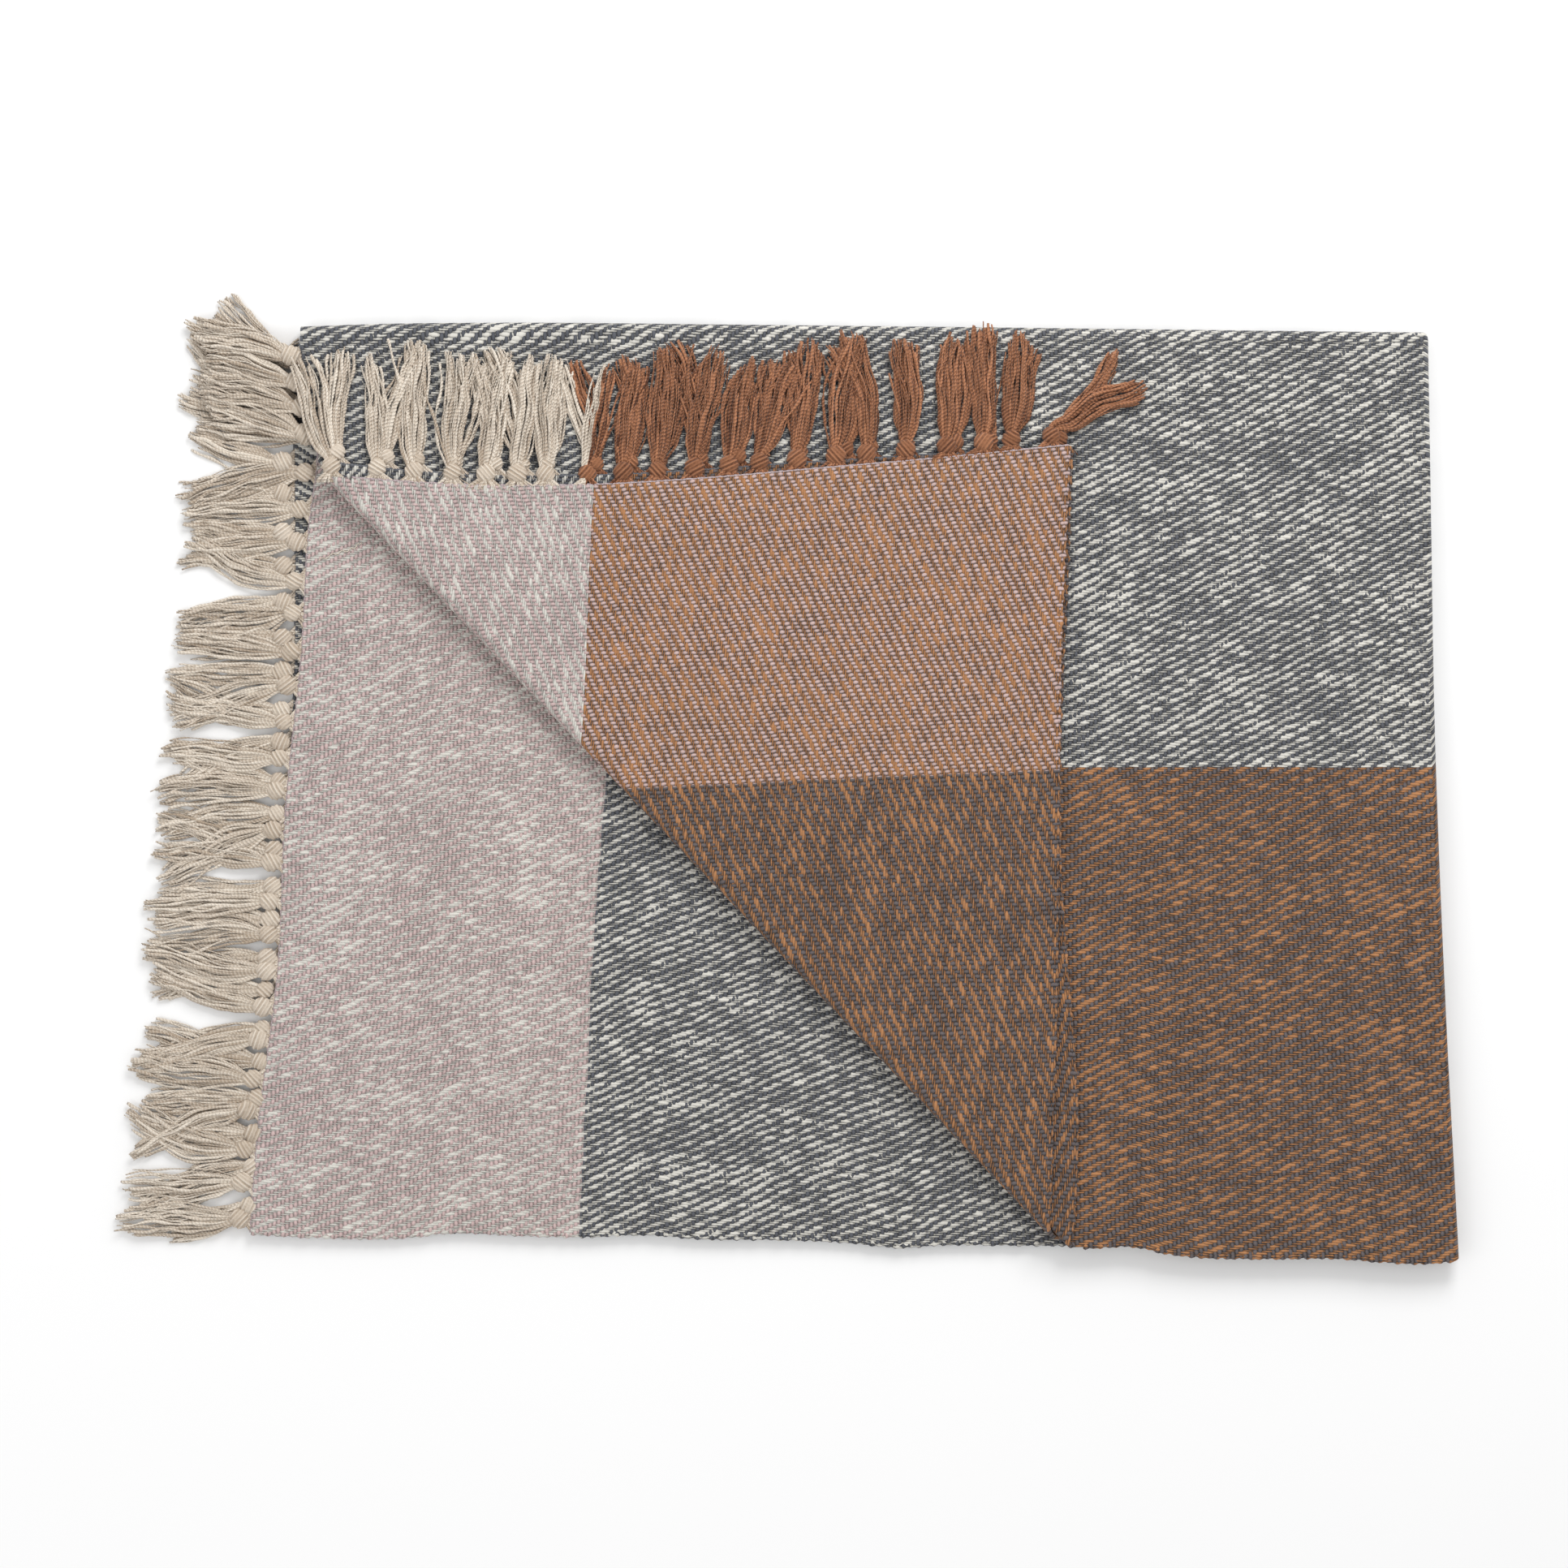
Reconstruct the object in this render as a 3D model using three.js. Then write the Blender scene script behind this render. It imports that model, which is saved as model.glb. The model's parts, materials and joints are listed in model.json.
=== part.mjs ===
// A cotton throw, 130 x 160 cm, folded end to end and side to side into four layers, with one
// corner turned back over a slanting fold. Both ends carry a fringe of knotted tassels.
// Millimetres, +Z up, lying on Z = 0. +X runs from the fringed edge to the folded edge, and +Y
// runs to the fold at the top. The origin is under the middle of the folded throw.

import * as THREE from "three";

// ---------------------------------------------------------------- driving dimensions

const CLOTH = 3.6; // thickness of one layer
const AIR = 0.6; // space between two layers
const PITCH = CLOTH + AIR; // one layer to the next
const SEAM = 0.3; // space where two pieces of the same cloth meet

const TOP_EDGE_Y = 336.5; // outside of the top fold
const LEFT_TOP_X = -343; // upper layers' fringed edge, at the top fold
const RIGHT_TOP = [451, TOP_EDGE_Y]; // outside of the end fold, at the top
const RIGHT_BOTTOM = [472, -318]; // outside of the end fold, at the bottom
const BOTTOM_MID = [191, -308.5]; // where the slanting fold meets the lower edge
const SLANT_TOP = [-325, 231.5]; // where the slanting fold meets the fringed edge
const FLAP_CORNER = [197, 251.5]; // the throw's own corner, turned back

// Fringed edge of each lower layer, from the top fold down, at even steps.
const FRINGED_EDGE_Y = [328, 202, 76, -50, -176, -302];
const LOWER_INNER_EDGE_X = [-336, -334, -343, -354, -364, -376];
const LOWER_OUTER_EDGE_X = [-346, -344, -346, -352, -361, -370];

// Where the selvedge of each flap layer bends, part way down.
const FLAP_INNER_BEND = [204, -185];
const FLAP_OUTER_BEND = [190, -20];

const HEADING = 1.6; // the last weft picks, where the warp ends leave the cloth
const KNOT_RADIUS = 6.5;
const NECK = 2.6; // half width of the bunch of warp ends just before the knot
const SKIRT = 8.5; // half width of a tassel at its tip
const KNOT_STEPS = 3;
const ARC_STEPS = 10;

// Tassel lengths, from the top fold down, and how far the last ones lean away from the rest.
const LOWER_OUTER_TASSELS = [66, 100];
const LOWER_INNER_TASSELS = [76, 103.7];
const UPPER_TASSELS = [80, 80];
const STRAIGHT = [0, 0];
const LOWER_CORNER_LEANS = [-0.48, 0];
const UPPER_LEANS = [0.3, 0.12];
const FLAP_CORNER_LEANS = [0, 0.5];

// Tassels in each bunch along the flap, cream first and then rust.
const FLAP_CREAM_BUNCHES = [4, 4];
const FLAP_RUST_BUNCHES = [4, 4, 5];
const LOWER_BUNCH = 5;
const UPPER_BUNCH = 4;

// Number of each layer, counted up from the surface.
const LEVEL = {
  lower_outer: 0,
  lower_inner: 1,
  upper_inner: 2,
  upper_outer: 3,
  flap_inner: 4,
  flap_outer: 5,
};

// ---------------------------------------------------------------- finishes

function fabric(color) {
  return new THREE.MeshStandardMaterial({ color, roughness: 0.95, metalness: 0 });
}

const CHARCOAL_CREAM = "#8a8887";
const MAUVE_CREAM = "#b6aba6";
const CHARCOAL_RUST = "#735d51";
const MAUVE_RUST = "#a07f6f";
const CREAM_YARN = "#bcae9f";
const RUST_YARN = "#8a6249";

// ---------------------------------------------------------------- small geometry helpers

const along = (a, b, t) => [a[0] + (b[0] - a[0]) * t, a[1] + (b[1] - a[1]) * t];

// Unit vector from a to b, and the one a quarter turn to its left.
function direction(a, b) {
  const length = Math.hypot(b[0] - a[0], b[1] - a[1]);
  return [(b[0] - a[0]) / length, (b[1] - a[1]) / length];
}

const leftOf = ([x, y]) => [-y, x];
const shifted = (p, dir, distance) => [p[0] + dir[0] * distance, p[1] + dir[1] * distance];
const baseOf = (level) => level * PITCH;

function addMesh(group, name, geometry, color) {
  const mesh = new THREE.Mesh(geometry, fabric(color));
  mesh.name = name;
  group.add(mesh);
  return mesh;
}

// A flat layer of cloth: its outline, as thick as the cloth, at its level in the stack.
function layer(group, name, level, outline, color) {
  const shape = new THREE.Shape(outline.map(([x, y]) => new THREE.Vector2(x, y)));
  const geometry = new THREE.ExtrudeGeometry(shape, { depth: CLOTH, bevelEnabled: false });
  addMesh(group, name, geometry, color).position.z = baseOf(level);
}

// Half the height of the hairpin between two layers, which is also how far it bulges.
const hairpinRadius = (lowLevel, highLevel) => ((highLevel - lowLevel) * PITCH + CLOTH) / 2;

// A hairpin fold that joins two layers: half a ring in section, run from a to b along the line
// about which the cloth turns. The ring bulges to the right of the way from a to b.
function hairpin(group, name, lowLevel, highLevel, a, b, color) {
  const outer = hairpinRadius(lowLevel, highLevel);
  const inner = outer - CLOTH;
  const section = new THREE.Shape();
  section.absarc(0, 0, outer, -Math.PI / 2, Math.PI / 2, false);
  section.absarc(0, 0, inner, Math.PI / 2, -Math.PI / 2, true);
  const length = Math.hypot(b[0] - a[0], b[1] - a[1]);
  const geometry = new THREE.ExtrudeGeometry(section, {
    depth: length,
    bevelEnabled: false,
    curveSegments: ARC_STEPS,
  });
  const run = direction(a, b);
  const out = leftOf(run).map((v) => -v);
  const basis = new THREE.Matrix4().makeBasis(
    new THREE.Vector3(out[0], out[1], 0),
    new THREE.Vector3(0, 0, 1),
    new THREE.Vector3(-run[0], -run[1], 0),
  );
  geometry.applyMatrix4(basis);
  addMesh(group, name, geometry, color).position.set(b[0], b[1], baseOf(lowLevel) + outer);
}

// ---------------------------------------------------------------- fold lines

// Every fold line is the axis that the cloth turns about, inside the fold's outer surface.
const TOP_RADIUS = hairpinRadius(LEVEL.lower_outer, LEVEL.upper_outer);
const END_RADIUS = hairpinRadius(LEVEL.lower_outer, LEVEL.lower_inner);
const TOP_AXIS_Y = TOP_EDGE_Y - TOP_RADIUS;

const slantRun = direction(SLANT_TOP, BOTTOM_MID);
const slantIn = leftOf(slantRun);
const SLANT_A = shifted(SLANT_TOP, slantIn, TOP_RADIUS);
const SLANT_B = shifted(BOTTOM_MID, slantIn, TOP_RADIUS);

const endRun = direction(RIGHT_BOTTOM, RIGHT_TOP);
const endIn = leftOf(endRun);
const END_A = shifted(RIGHT_BOTTOM, endIn, END_RADIUS);
const END_B = shifted([RIGHT_TOP[0], TOP_AXIS_Y - 2 * SEAM], endIn, END_RADIUS);

// ---------------------------------------------------------------- layers

const topY = TOP_AXIS_Y - SEAM;
const rightBottom = shifted(END_A, endIn, SEAM);
const rightTop = [END_B[0] + endIn[0] * SEAM, topY];
const slantA = shifted(SLANT_A, slantIn, SEAM);
const slantB = shifted(SLANT_B, slantIn, SEAM);

const lowerInnerEdge = LOWER_INNER_EDGE_X.map((x, i) => [x, FRINGED_EDGE_Y[i]]);
const lowerOuterEdge = LOWER_OUTER_EDGE_X.map((x, i) => [x, FRINGED_EDGE_Y[i]]);

function lowerLayers(group) {
  layer(group, "lower_outer_layer", LEVEL.lower_outer, [...lowerOuterEdge, rightBottom, rightTop],
    CHARCOAL_CREAM);
  layer(group, "lower_inner_layer", LEVEL.lower_inner, [...lowerInnerEdge, rightBottom, rightTop],
    MAUVE_CREAM);
  hairpin(group, "end_fold_lower", LEVEL.lower_outer, LEVEL.lower_inner, END_A, END_B,
    CHARCOAL_CREAM);
}

function upperLayers(group) {
  const outline = [[LEFT_TOP_X, topY], slantA, slantB, rightBottom, rightTop];
  layer(group, "upper_inner_layer", LEVEL.upper_inner, outline, CHARCOAL_CREAM);
  layer(group, "upper_outer_layer", LEVEL.upper_outer, outline, CHARCOAL_RUST);
  hairpin(group, "end_fold_upper", LEVEL.upper_inner, LEVEL.upper_outer, END_A, END_B,
    CHARCOAL_RUST);
}

function flapLayers(group) {
  layer(group, "flap_inner_layer", LEVEL.flap_inner, [slantA, slantB, FLAP_INNER_BEND, FLAP_CORNER],
    CHARCOAL_RUST);
  layer(group, "flap_outer_layer", LEVEL.flap_outer, [slantA, slantB, FLAP_OUTER_BEND, FLAP_CORNER],
    MAUVE_RUST);
}

// The folds that turn as a joint opens. The cloth of the nearer layers turns inside the outer ones.
function turningFolds(group) {
  const left = [LEFT_TOP_X, TOP_AXIS_Y];
  const right = [END_B[0], TOP_AXIS_Y];
  hairpin(group, "top_fold_outer", LEVEL.lower_outer, LEVEL.upper_outer, right, left,
    CHARCOAL_CREAM);
  hairpin(group, "top_fold_inner", LEVEL.lower_inner, LEVEL.upper_inner, right, left,
    CHARCOAL_CREAM);
  hairpin(group, "corner_fold_outer", LEVEL.upper_inner, LEVEL.flap_outer, SLANT_A, SLANT_B,
    MAUVE_CREAM);
  hairpin(group, "corner_fold_inner", LEVEL.upper_outer, LEVEL.flap_inner, SLANT_A, SLANT_B,
    CHARCOAL_CREAM);
}

// ---------------------------------------------------------------- fringe

// One tassel's outline, standing on the heading at x: neck, knot and flaring skirt.
function tasselOutline(x, length, lean) {
  const knotY = HEADING + KNOT_RADIUS;
  const start = Math.asin(NECK / KNOT_RADIUS);
  const points = [];
  const knotSide = (side, from, to) => {
    for (let i = 0; i <= KNOT_STEPS; i += 1) {
      const a = from + ((to - from) * i) / KNOT_STEPS;
      points.push([x + side * KNOT_RADIUS * Math.sin(a), knotY - KNOT_RADIUS * Math.cos(a)]);
    }
  };
  const tip = [x + length * Math.sin(lean), length * Math.cos(lean)];
  knotSide(1, start, Math.PI - start);
  points.push([tip[0] + SKIRT, tip[1]], [tip[0] - SKIRT, tip[1]]);
  knotSide(-1, Math.PI - start, start);
  return points;
}

// A bunch of tassels on one stretch of edge, from a to b, with the fringe to the left of the way
// from a to b. Lengths and leans run evenly from the first tassel to the last.
function comb(group, name, level, a, b, count, lengths, leans, color) {
  const width = Math.hypot(b[0] - a[0], b[1] - a[1]) - SEAM;
  const pitch = width / count;
  const points = [[0, 0], [width, 0], [width, HEADING]];
  for (let i = count - 1; i >= 0; i -= 1) {
    const t = i / (count - 1);
    const length = lengths[0] + (lengths[1] - lengths[0]) * t;
    const lean = leans[0] + (leans[1] - leans[0]) * t;
    points.push(...tasselOutline((i + 0.5) * pitch, length, lean));
  }
  points.push([0, HEADING]);
  const shape = new THREE.Shape(points.map(([x, y]) => new THREE.Vector2(x, y)));
  const geometry = new THREE.ExtrudeGeometry(shape, { depth: CLOTH, bevelEnabled: false });
  const run = direction(a, b);
  const mesh = addMesh(group, name, geometry, color);
  const foot = shifted(shifted(a, run, SEAM / 2), leftOf(run), SEAM);
  mesh.position.set(foot[0], foot[1], baseOf(level));
  mesh.rotation.z = Math.atan2(run[1], run[0]);
}

// Fringe of a lower layer: a bunch for each stretch of its edge, from the top fold down.
function lowerFringe(group, name, level, edge, [first, last]) {
  const bunches = edge.length - 1;
  const lengthAt = (k) => first + ((last - first) * k) / bunches;
  for (let k = 0; k < bunches; k += 1) {
    const leans = k === bunches - 1 ? LOWER_CORNER_LEANS : STRAIGHT;
    comb(group, `${name}_${k + 1}`, level, edge[k + 1], edge[k], LOWER_BUNCH,
      [lengthAt(k + 1), lengthAt(k)], leans, CREAM_YARN);
  }
}

// Fringe of one upper layer: the tassels left above the slanting fold. They lean up, clear of where
// the corner's own tassels come to lie when it is opened flat.
function upperFringe(group, name, level) {
  comb(group, name, level, slantA, [LEFT_TOP_X, topY], UPPER_BUNCH, UPPER_TASSELS, UPPER_LEANS,
    CREAM_YARN);
}

// Fringe of one flap layer: bunches along the turned-back end, cream first and then rust.
function flapFringe(group, name, level) {
  const counts = [...FLAP_CREAM_BUNCHES, ...FLAP_RUST_BUNCHES];
  const total = counts.reduce((sum, n) => sum + n, 0);
  let done = 0;
  counts.forEach((count, k) => {
    const a = along(slantA, FLAP_CORNER, done / total);
    done += count;
    const b = along(slantA, FLAP_CORNER, done / total);
    const leans = k === counts.length - 1 ? FLAP_CORNER_LEANS : STRAIGHT;
    const color = k < FLAP_CREAM_BUNCHES.length ? CREAM_YARN : RUST_YARN;
    comb(group, `${name}_${k + 1}`, level, a, b, count, UPPER_TASSELS, leans, color);
  });
}

// ---------------------------------------------------------------- assembly

const throwBlanket = new THREE.Group();

lowerLayers(throwBlanket);
upperLayers(throwBlanket);
flapLayers(throwBlanket);
turningFolds(throwBlanket);
lowerFringe(throwBlanket, "fringe_lower_outer", LEVEL.lower_outer, lowerOuterEdge,
  LOWER_OUTER_TASSELS);
lowerFringe(throwBlanket, "fringe_lower_inner", LEVEL.lower_inner, lowerInnerEdge,
  LOWER_INNER_TASSELS);
upperFringe(throwBlanket, "fringe_upper_inner_1", LEVEL.upper_inner);
upperFringe(throwBlanket, "fringe_upper_outer_1", LEVEL.upper_outer);
flapFringe(throwBlanket, "fringe_flap_inner", LEVEL.flap_inner);
flapFringe(throwBlanket, "fringe_flap_outer", LEVEL.flap_outer);

export default throwBlanket;
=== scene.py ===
# %% [markdown]
# # A folded cotton throw
#
# The throw is one piece of chunky cotton twill, 130 by 160 cm, folded end to end and side to side
# into four layers. One corner of the upper two layers is turned back over a slanting fold, and
# both ends carry knotted tassels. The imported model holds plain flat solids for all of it. This
# script builds the cloth and the yarn that show, around the same fold lines.

# %% Load the frame
import json
import math

import bpy
import numpy as np
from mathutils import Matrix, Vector


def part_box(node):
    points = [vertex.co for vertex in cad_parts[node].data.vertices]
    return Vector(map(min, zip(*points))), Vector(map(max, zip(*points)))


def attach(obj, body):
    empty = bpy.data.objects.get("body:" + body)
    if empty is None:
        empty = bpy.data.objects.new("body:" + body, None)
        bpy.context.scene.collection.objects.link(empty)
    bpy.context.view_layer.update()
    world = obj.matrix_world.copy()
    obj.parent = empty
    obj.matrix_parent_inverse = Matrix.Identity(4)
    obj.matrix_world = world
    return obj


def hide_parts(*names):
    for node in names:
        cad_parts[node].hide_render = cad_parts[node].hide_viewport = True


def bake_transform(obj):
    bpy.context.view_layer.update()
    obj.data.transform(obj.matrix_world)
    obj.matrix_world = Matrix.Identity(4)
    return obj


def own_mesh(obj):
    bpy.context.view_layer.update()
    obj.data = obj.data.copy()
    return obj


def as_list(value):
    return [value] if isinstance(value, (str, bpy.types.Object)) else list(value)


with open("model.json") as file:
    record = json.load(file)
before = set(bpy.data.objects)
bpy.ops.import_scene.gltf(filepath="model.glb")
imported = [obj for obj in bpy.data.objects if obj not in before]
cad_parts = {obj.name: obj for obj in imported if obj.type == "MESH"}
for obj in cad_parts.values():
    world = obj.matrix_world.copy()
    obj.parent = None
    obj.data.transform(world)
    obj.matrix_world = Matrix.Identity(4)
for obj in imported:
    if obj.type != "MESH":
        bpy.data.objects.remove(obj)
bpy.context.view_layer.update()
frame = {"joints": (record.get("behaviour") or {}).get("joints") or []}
joints = {joint["name"]: joint for joint in frame["joints"]}

# %% [markdown]
# ## Sizes
#
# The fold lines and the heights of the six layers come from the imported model, so that the cloth
# turns about the joints. The yarn spacing further down is real too: a warp yarn takes 1.55 mm of
# the width, and a weft yarn takes 2.9 mm of the length.

# %% Fold lines and layer heights
TOP_Y, TOP_Z = joints["top_fold"]["pos_m"][1:]
SLANT = np.array(joints["corner_fold"]["pos_m"][:2])
RUN = np.array(joints["corner_fold"]["axis"][:2])
INWARD = np.array([-RUN[1], RUN[0]])


def middle_height(node):
    """Height of the middle of a flat layer."""
    low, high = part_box(node)
    return (low.z + high.z) / 2


LAYERS = ["lower_outer", "lower_inner", "upper_inner", "upper_outer", "flap_inner", "flap_outer"]
HEIGHT = {name: middle_height(f"{name}_layer") for name in LAYERS}
GAP = HEIGHT["lower_inner"] - HEIGHT["lower_outer"]
TIGHT_TURN = GAP / 2
WIDE_TURN = GAP * 3 / 2
print("layer heights in mm:", {name: round(h * 1000, 1) for name, h in HEIGHT.items()})

# %% The throw's own sizes, in metres
HALF_LENGTH = 0.80
LENGTH = 2 * HALF_LENGTH
HALF_WIDTH = 0.65
WIDTH = 2 * HALF_WIDTH
THICKNESS = 0.0030
RUST_BAND = 0.335
MAUVE_BAND = 0.227
MARGIN = 0.004
SEAM_Y = TOP_Y - MARGIN

# %% [markdown]
# ## Curves and waves
#
# Hand-folded cloth has no straight edge and no flat top. Each edge is a smooth curve through a few
# points, and one gentle swell runs through the whole stack, so that the layers rise and dip
# together and never cut into each other.

# %% Smooth curves through a few points
def through(points):
    """A smooth curve through (place, value) points, as a function of place.

    Between two points the value is a cubic that leaves each with the slope of the line between
    its neighbours, so the curve has no corners."""
    place, value = np.array(sorted(map(tuple, points)), float).T
    slope = np.gradient(value, place)

    def curve(at):
        """The value at each place."""
        at = np.asarray(at, float)
        k = np.clip(np.searchsorted(place, at) - 1, 0, len(place) - 2)
        span = place[k + 1] - place[k]
        t = np.clip((at - place[k]) / span, 0, 1)
        rise = value[k] * (1 + 2 * t) * (1 - t) ** 2 + value[k + 1] * t * t * (3 - 2 * t)
        rise = rise + span * (slope[k] * t * (1 - t) ** 2 + slope[k + 1] * t * t * (t - 1))
        return rise

    return curve


def mix(a, b, t):
    """The value a share t of the way from a to b."""
    return a + (b - a) * t


def eased(t):
    """A share from 0 to 1 that starts and ends level: 3 t squared less 2 t cubed."""
    t = np.clip(t, 0, 1)
    return t * t * (3 - 2 * t)


# %% The swell of the stack
SWELL_HEIGHT = 0.0003
SWELL_SHARE = [0.1, 0.5, 0.8, 1.0, 1.25, 1.5]
SWELL_WAVES = [
    (23, 9, 0.4), (-13, 27, 1.9), (41, 17, 3.1), (9, -38, 5.2), (-52, 44, 0.8), (30, 66, 2.2),
]


def swelled(x, y, z):
    """Height with the swell added: slanting sine waves, each a little lower than the last, that
    die out towards the surface the throw lies on."""
    total = 0
    for rank, (across, up, start) in enumerate(SWELL_WAVES):
        total = total + np.sin(across * x + up * y + start) / (1 + 0.3 * rank)
    return z + SWELL_HEIGHT * total * np.interp(z, list(HEIGHT.values()), SWELL_SHARE)


# %% [markdown]
# ## Where the cloth lies
#
# Every point of the cloth has two coordinates of its own: u, how far it is from the first end of
# the throw, and v, how far it is from the rust selvedge. The weave and the colour bands are drawn
# on u and v, so they run on over every fold. The edges below are as the throw lies: the two lower
# layers, then the upper two, and the corner that is turned back.

# %% Edges of the layers, as (x, y) points in metres
END_FOLD = [(0.4510, 0.3365), (0.4530, 0.215), (0.4567, 0.0269), (0.4625, -0.120), (0.4727, -0.318)]
LOWER_INNER_END = [
    (-0.3759, -0.2968), (-0.3713, -0.2338), (-0.3570, -0.1192), (-0.3513, -0.0046), (-0.3398, 0.1100),
    (-0.3341, 0.2017), (-0.3290, 0.2400), (-0.3360, 0.3365),
]
LOWER_OUTER_END = [
    (-0.370, -0.302), (-0.361, -0.176), (-0.352, -0.050), (-0.346, 0.076), (-0.346, 0.330),
]
UPPER_END = [(-0.3290, 0.262), (-0.3350, 0.300), (-0.3430, 0.3365)]
FLAP_OUTER_END = [
    (-0.3186, 0.2303), (-0.2682, 0.2263), (-0.1994, 0.2235), (-0.1347, 0.2240), (-0.0619, 0.2281),
    (0.0183, 0.2349), (0.1043, 0.2424), (0.1971, 0.2515),
]
FLAP_INNER_END = [
    (-0.3200, 0.2400), (-0.2682, 0.2345), (-0.1347, 0.2310), (0.0183, 0.2400), (0.1043, 0.2455),
    (0.2030, 0.2490),
]
FLAP_OUTER_SIDE = [
    (0.1971, 0.2246), (0.1931, 0.1444), (0.1902, -0.0046), (0.1885, -0.1478), (0.1857, -0.2338),
    (0.1845, -0.2911),
]
FLAP_INNER_SIDE = [
    (0.1990, 0.2246), (0.1972, 0.1673), (0.1944, 0.1100), (0.1915, 0.0298), (0.1928, -0.0619),
    (0.1972, -0.1192), (0.2016, -0.1765), (0.2037, -0.2338), (0.2020, -0.2796),
]
LOWER_INNER_SIDE = [
    (-0.3760, -0.3005), (-0.3255, -0.3031), (-0.2682, -0.3031), (-0.2338, -0.2996), (-0.1880, -0.3014),
    (-0.1421, -0.3025), (-0.0963, -0.3008), (-0.0619, -0.3037), (-0.0103, -0.3043), (0.0470, -0.3066),
    (0.0814, -0.3100), (0.1043, -0.3083), (0.1616, -0.3083), (0.300, -0.3100), (0.472, -0.3130),
]
LOWER_OUTER_SIDE = [(-0.370, -0.2990), (-0.150, -0.3005), (0.100, -0.3050), (0.472, -0.3120)]
UPPER_OUTER_SIDE = [
    (0.2140, -0.3095), (0.2475, -0.3088), (0.2647, -0.3129), (0.2819, -0.3152), (0.3335, -0.3169),
    (0.3908, -0.3169), (0.4194, -0.3192), (0.4481, -0.3203), (0.4710, -0.3186),
]
UPPER_INNER_SIDE = [(0.2140, -0.3060), (0.3335, -0.3110), (0.4710, -0.3150)]


def swapped(points):
    """Each (x, y) point as (y, x), for an edge that runs up and down."""
    return [(y, x) for x, y in points]


end_fold = through(swapped(END_FOLD))
MAUVE_EDGE_LOWER = through([(-0.3200, -0.1450), (-0.2100, -0.1410), (-0.0370, -0.1306),
                            (0.0180, -0.1265), (0.3365, -0.1180)])
MAUVE_EDGE_UPPER = through([(-0.3008, -0.1452), (0.0077, -0.1186), (0.3365, -0.1000)])
RUST_EDGE_OUTER = 0.0269
RUST_EDGE_INNER = 0.0382


# %% Turning the corner back
def unfolded(seen, radius):
    """Where points of the turned-back corner would lie with the corner opened flat: each moves
    across the fold line by twice its distance from it, plus the length of the turn."""
    seen = np.array(seen)
    off = (seen - SLANT) @ INWARD
    return seen - np.outer(2 * off + math.pi * radius, INWARD)


def turned_back(x, y, low, radius):
    """Turns flat cloth back over the slanting fold line: a half circle of the given radius, and
    beyond it the cloth lies flat again, the other way up."""
    off = (x - SLANT[0]) * INWARD[0] + (y - SLANT[1]) * INWARD[1]
    angle = np.clip(-off / radius, 0, math.pi)
    after = np.where(angle < math.pi, -radius * np.sin(angle), -off - math.pi * radius)
    move = np.where(off > 0, 0, after - off)
    return x + move * INWARD[0], y + move * INWARD[1], low + radius * (1 - np.cos(angle))


def corner_sheet(end_points, side_points, far_side, radius):
    """Fringed end and selvedge of one upper layer, with its corner opened flat."""
    end = [tuple(p) for p in unfolded(end_points, radius)] + UPPER_END
    side = [tuple(p) for p in unfolded(side_points, radius)] + far_side
    return through(swapped(end)), through(side)


ends, sides = {}, {}
ends["lower_inner"] = through(swapped(LOWER_INNER_END))
ends["lower_outer"] = through(swapped(LOWER_OUTER_END))
sides["lower_inner"] = through(LOWER_INNER_SIDE)
sides["lower_outer"] = through(LOWER_OUTER_SIDE)
ends["upper_inner"], sides["upper_inner"] = corner_sheet(
    FLAP_OUTER_END, FLAP_OUTER_SIDE, UPPER_INNER_SIDE, WIDE_TURN)
ends["upper_outer"], sides["upper_outer"] = corner_sheet(
    FLAP_INNER_END, FLAP_INNER_SIDE, UPPER_OUTER_SIDE, TIGHT_TURN)


# %% Cloth coordinates from the place on the flat layer
def banded(at, edge, border, far, width, whole):
    """Cloth coordinate that is 0 at the edge, the band's width at its border and whole at the far
    line, with an even scale on each side of the border."""
    near = width * (at - edge) / (border - edge)
    beyond = width + (whole - width) * (at - border) / (far - border)
    return np.where(at < border, near, beyond)


def turn_centre_x(y):
    """Middle of the end-to-end fold, for the middle of the cloth."""
    return end_fold(y) - TIGHT_TURN - THICKNESS / 2


def cloth_place(layer, x, y):
    """u and v at a place on a layer that lies flat, with the corner not yet turned back."""
    upper = layer.startswith("upper")
    to_fold = HALF_LENGTH - math.pi * TIGHT_TURN / 2
    turn = WIDE_TURN if layer.endswith("outer") else TIGHT_TURN
    to_seam = HALF_WIDTH - MARGIN - math.pi * turn / 2
    border = MAUVE_EDGE_UPPER(y) if upper else MAUVE_EDGE_LOWER(y)
    u = banded(x, ends[layer](y), border, turn_centre_x(y), MAUVE_BAND, to_fold)
    if upper:
        rust = RUST_EDGE_OUTER if layer == "upper_outer" else RUST_EDGE_INNER
        v = banded(y, sides[layer](x), rust, SEAM_Y, RUST_BAND, to_seam)
    else:
        v = WIDTH - to_seam * (y - sides[layer](x)) / (SEAM_Y - sides[layer](x))
    if layer.endswith("outer"):
        u = LENGTH - u
    return u, v


# %% [markdown]
# ## Sheets from grids
#
# A sheet is a grid of points with faces between them, and Solidify gives it the thickness of the
# cloth. Building the grid directly, rather than dropping a cloth by simulation, keeps every fold
# on its joint and every yarn parallel to its edge, as in a throw that was folded by hand and
# smoothed flat.

# %% Points between two boundary lines
COLUMNS = 112
FLAP_COLUMNS = 84
ROWS = 92
FREE_END_ROWS = 16
FOLD_ROWS = 120
FLAP_TOP = 0.995
RIGHT_X = 0.465
LOWER_LEFT_Y = -0.30


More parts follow.
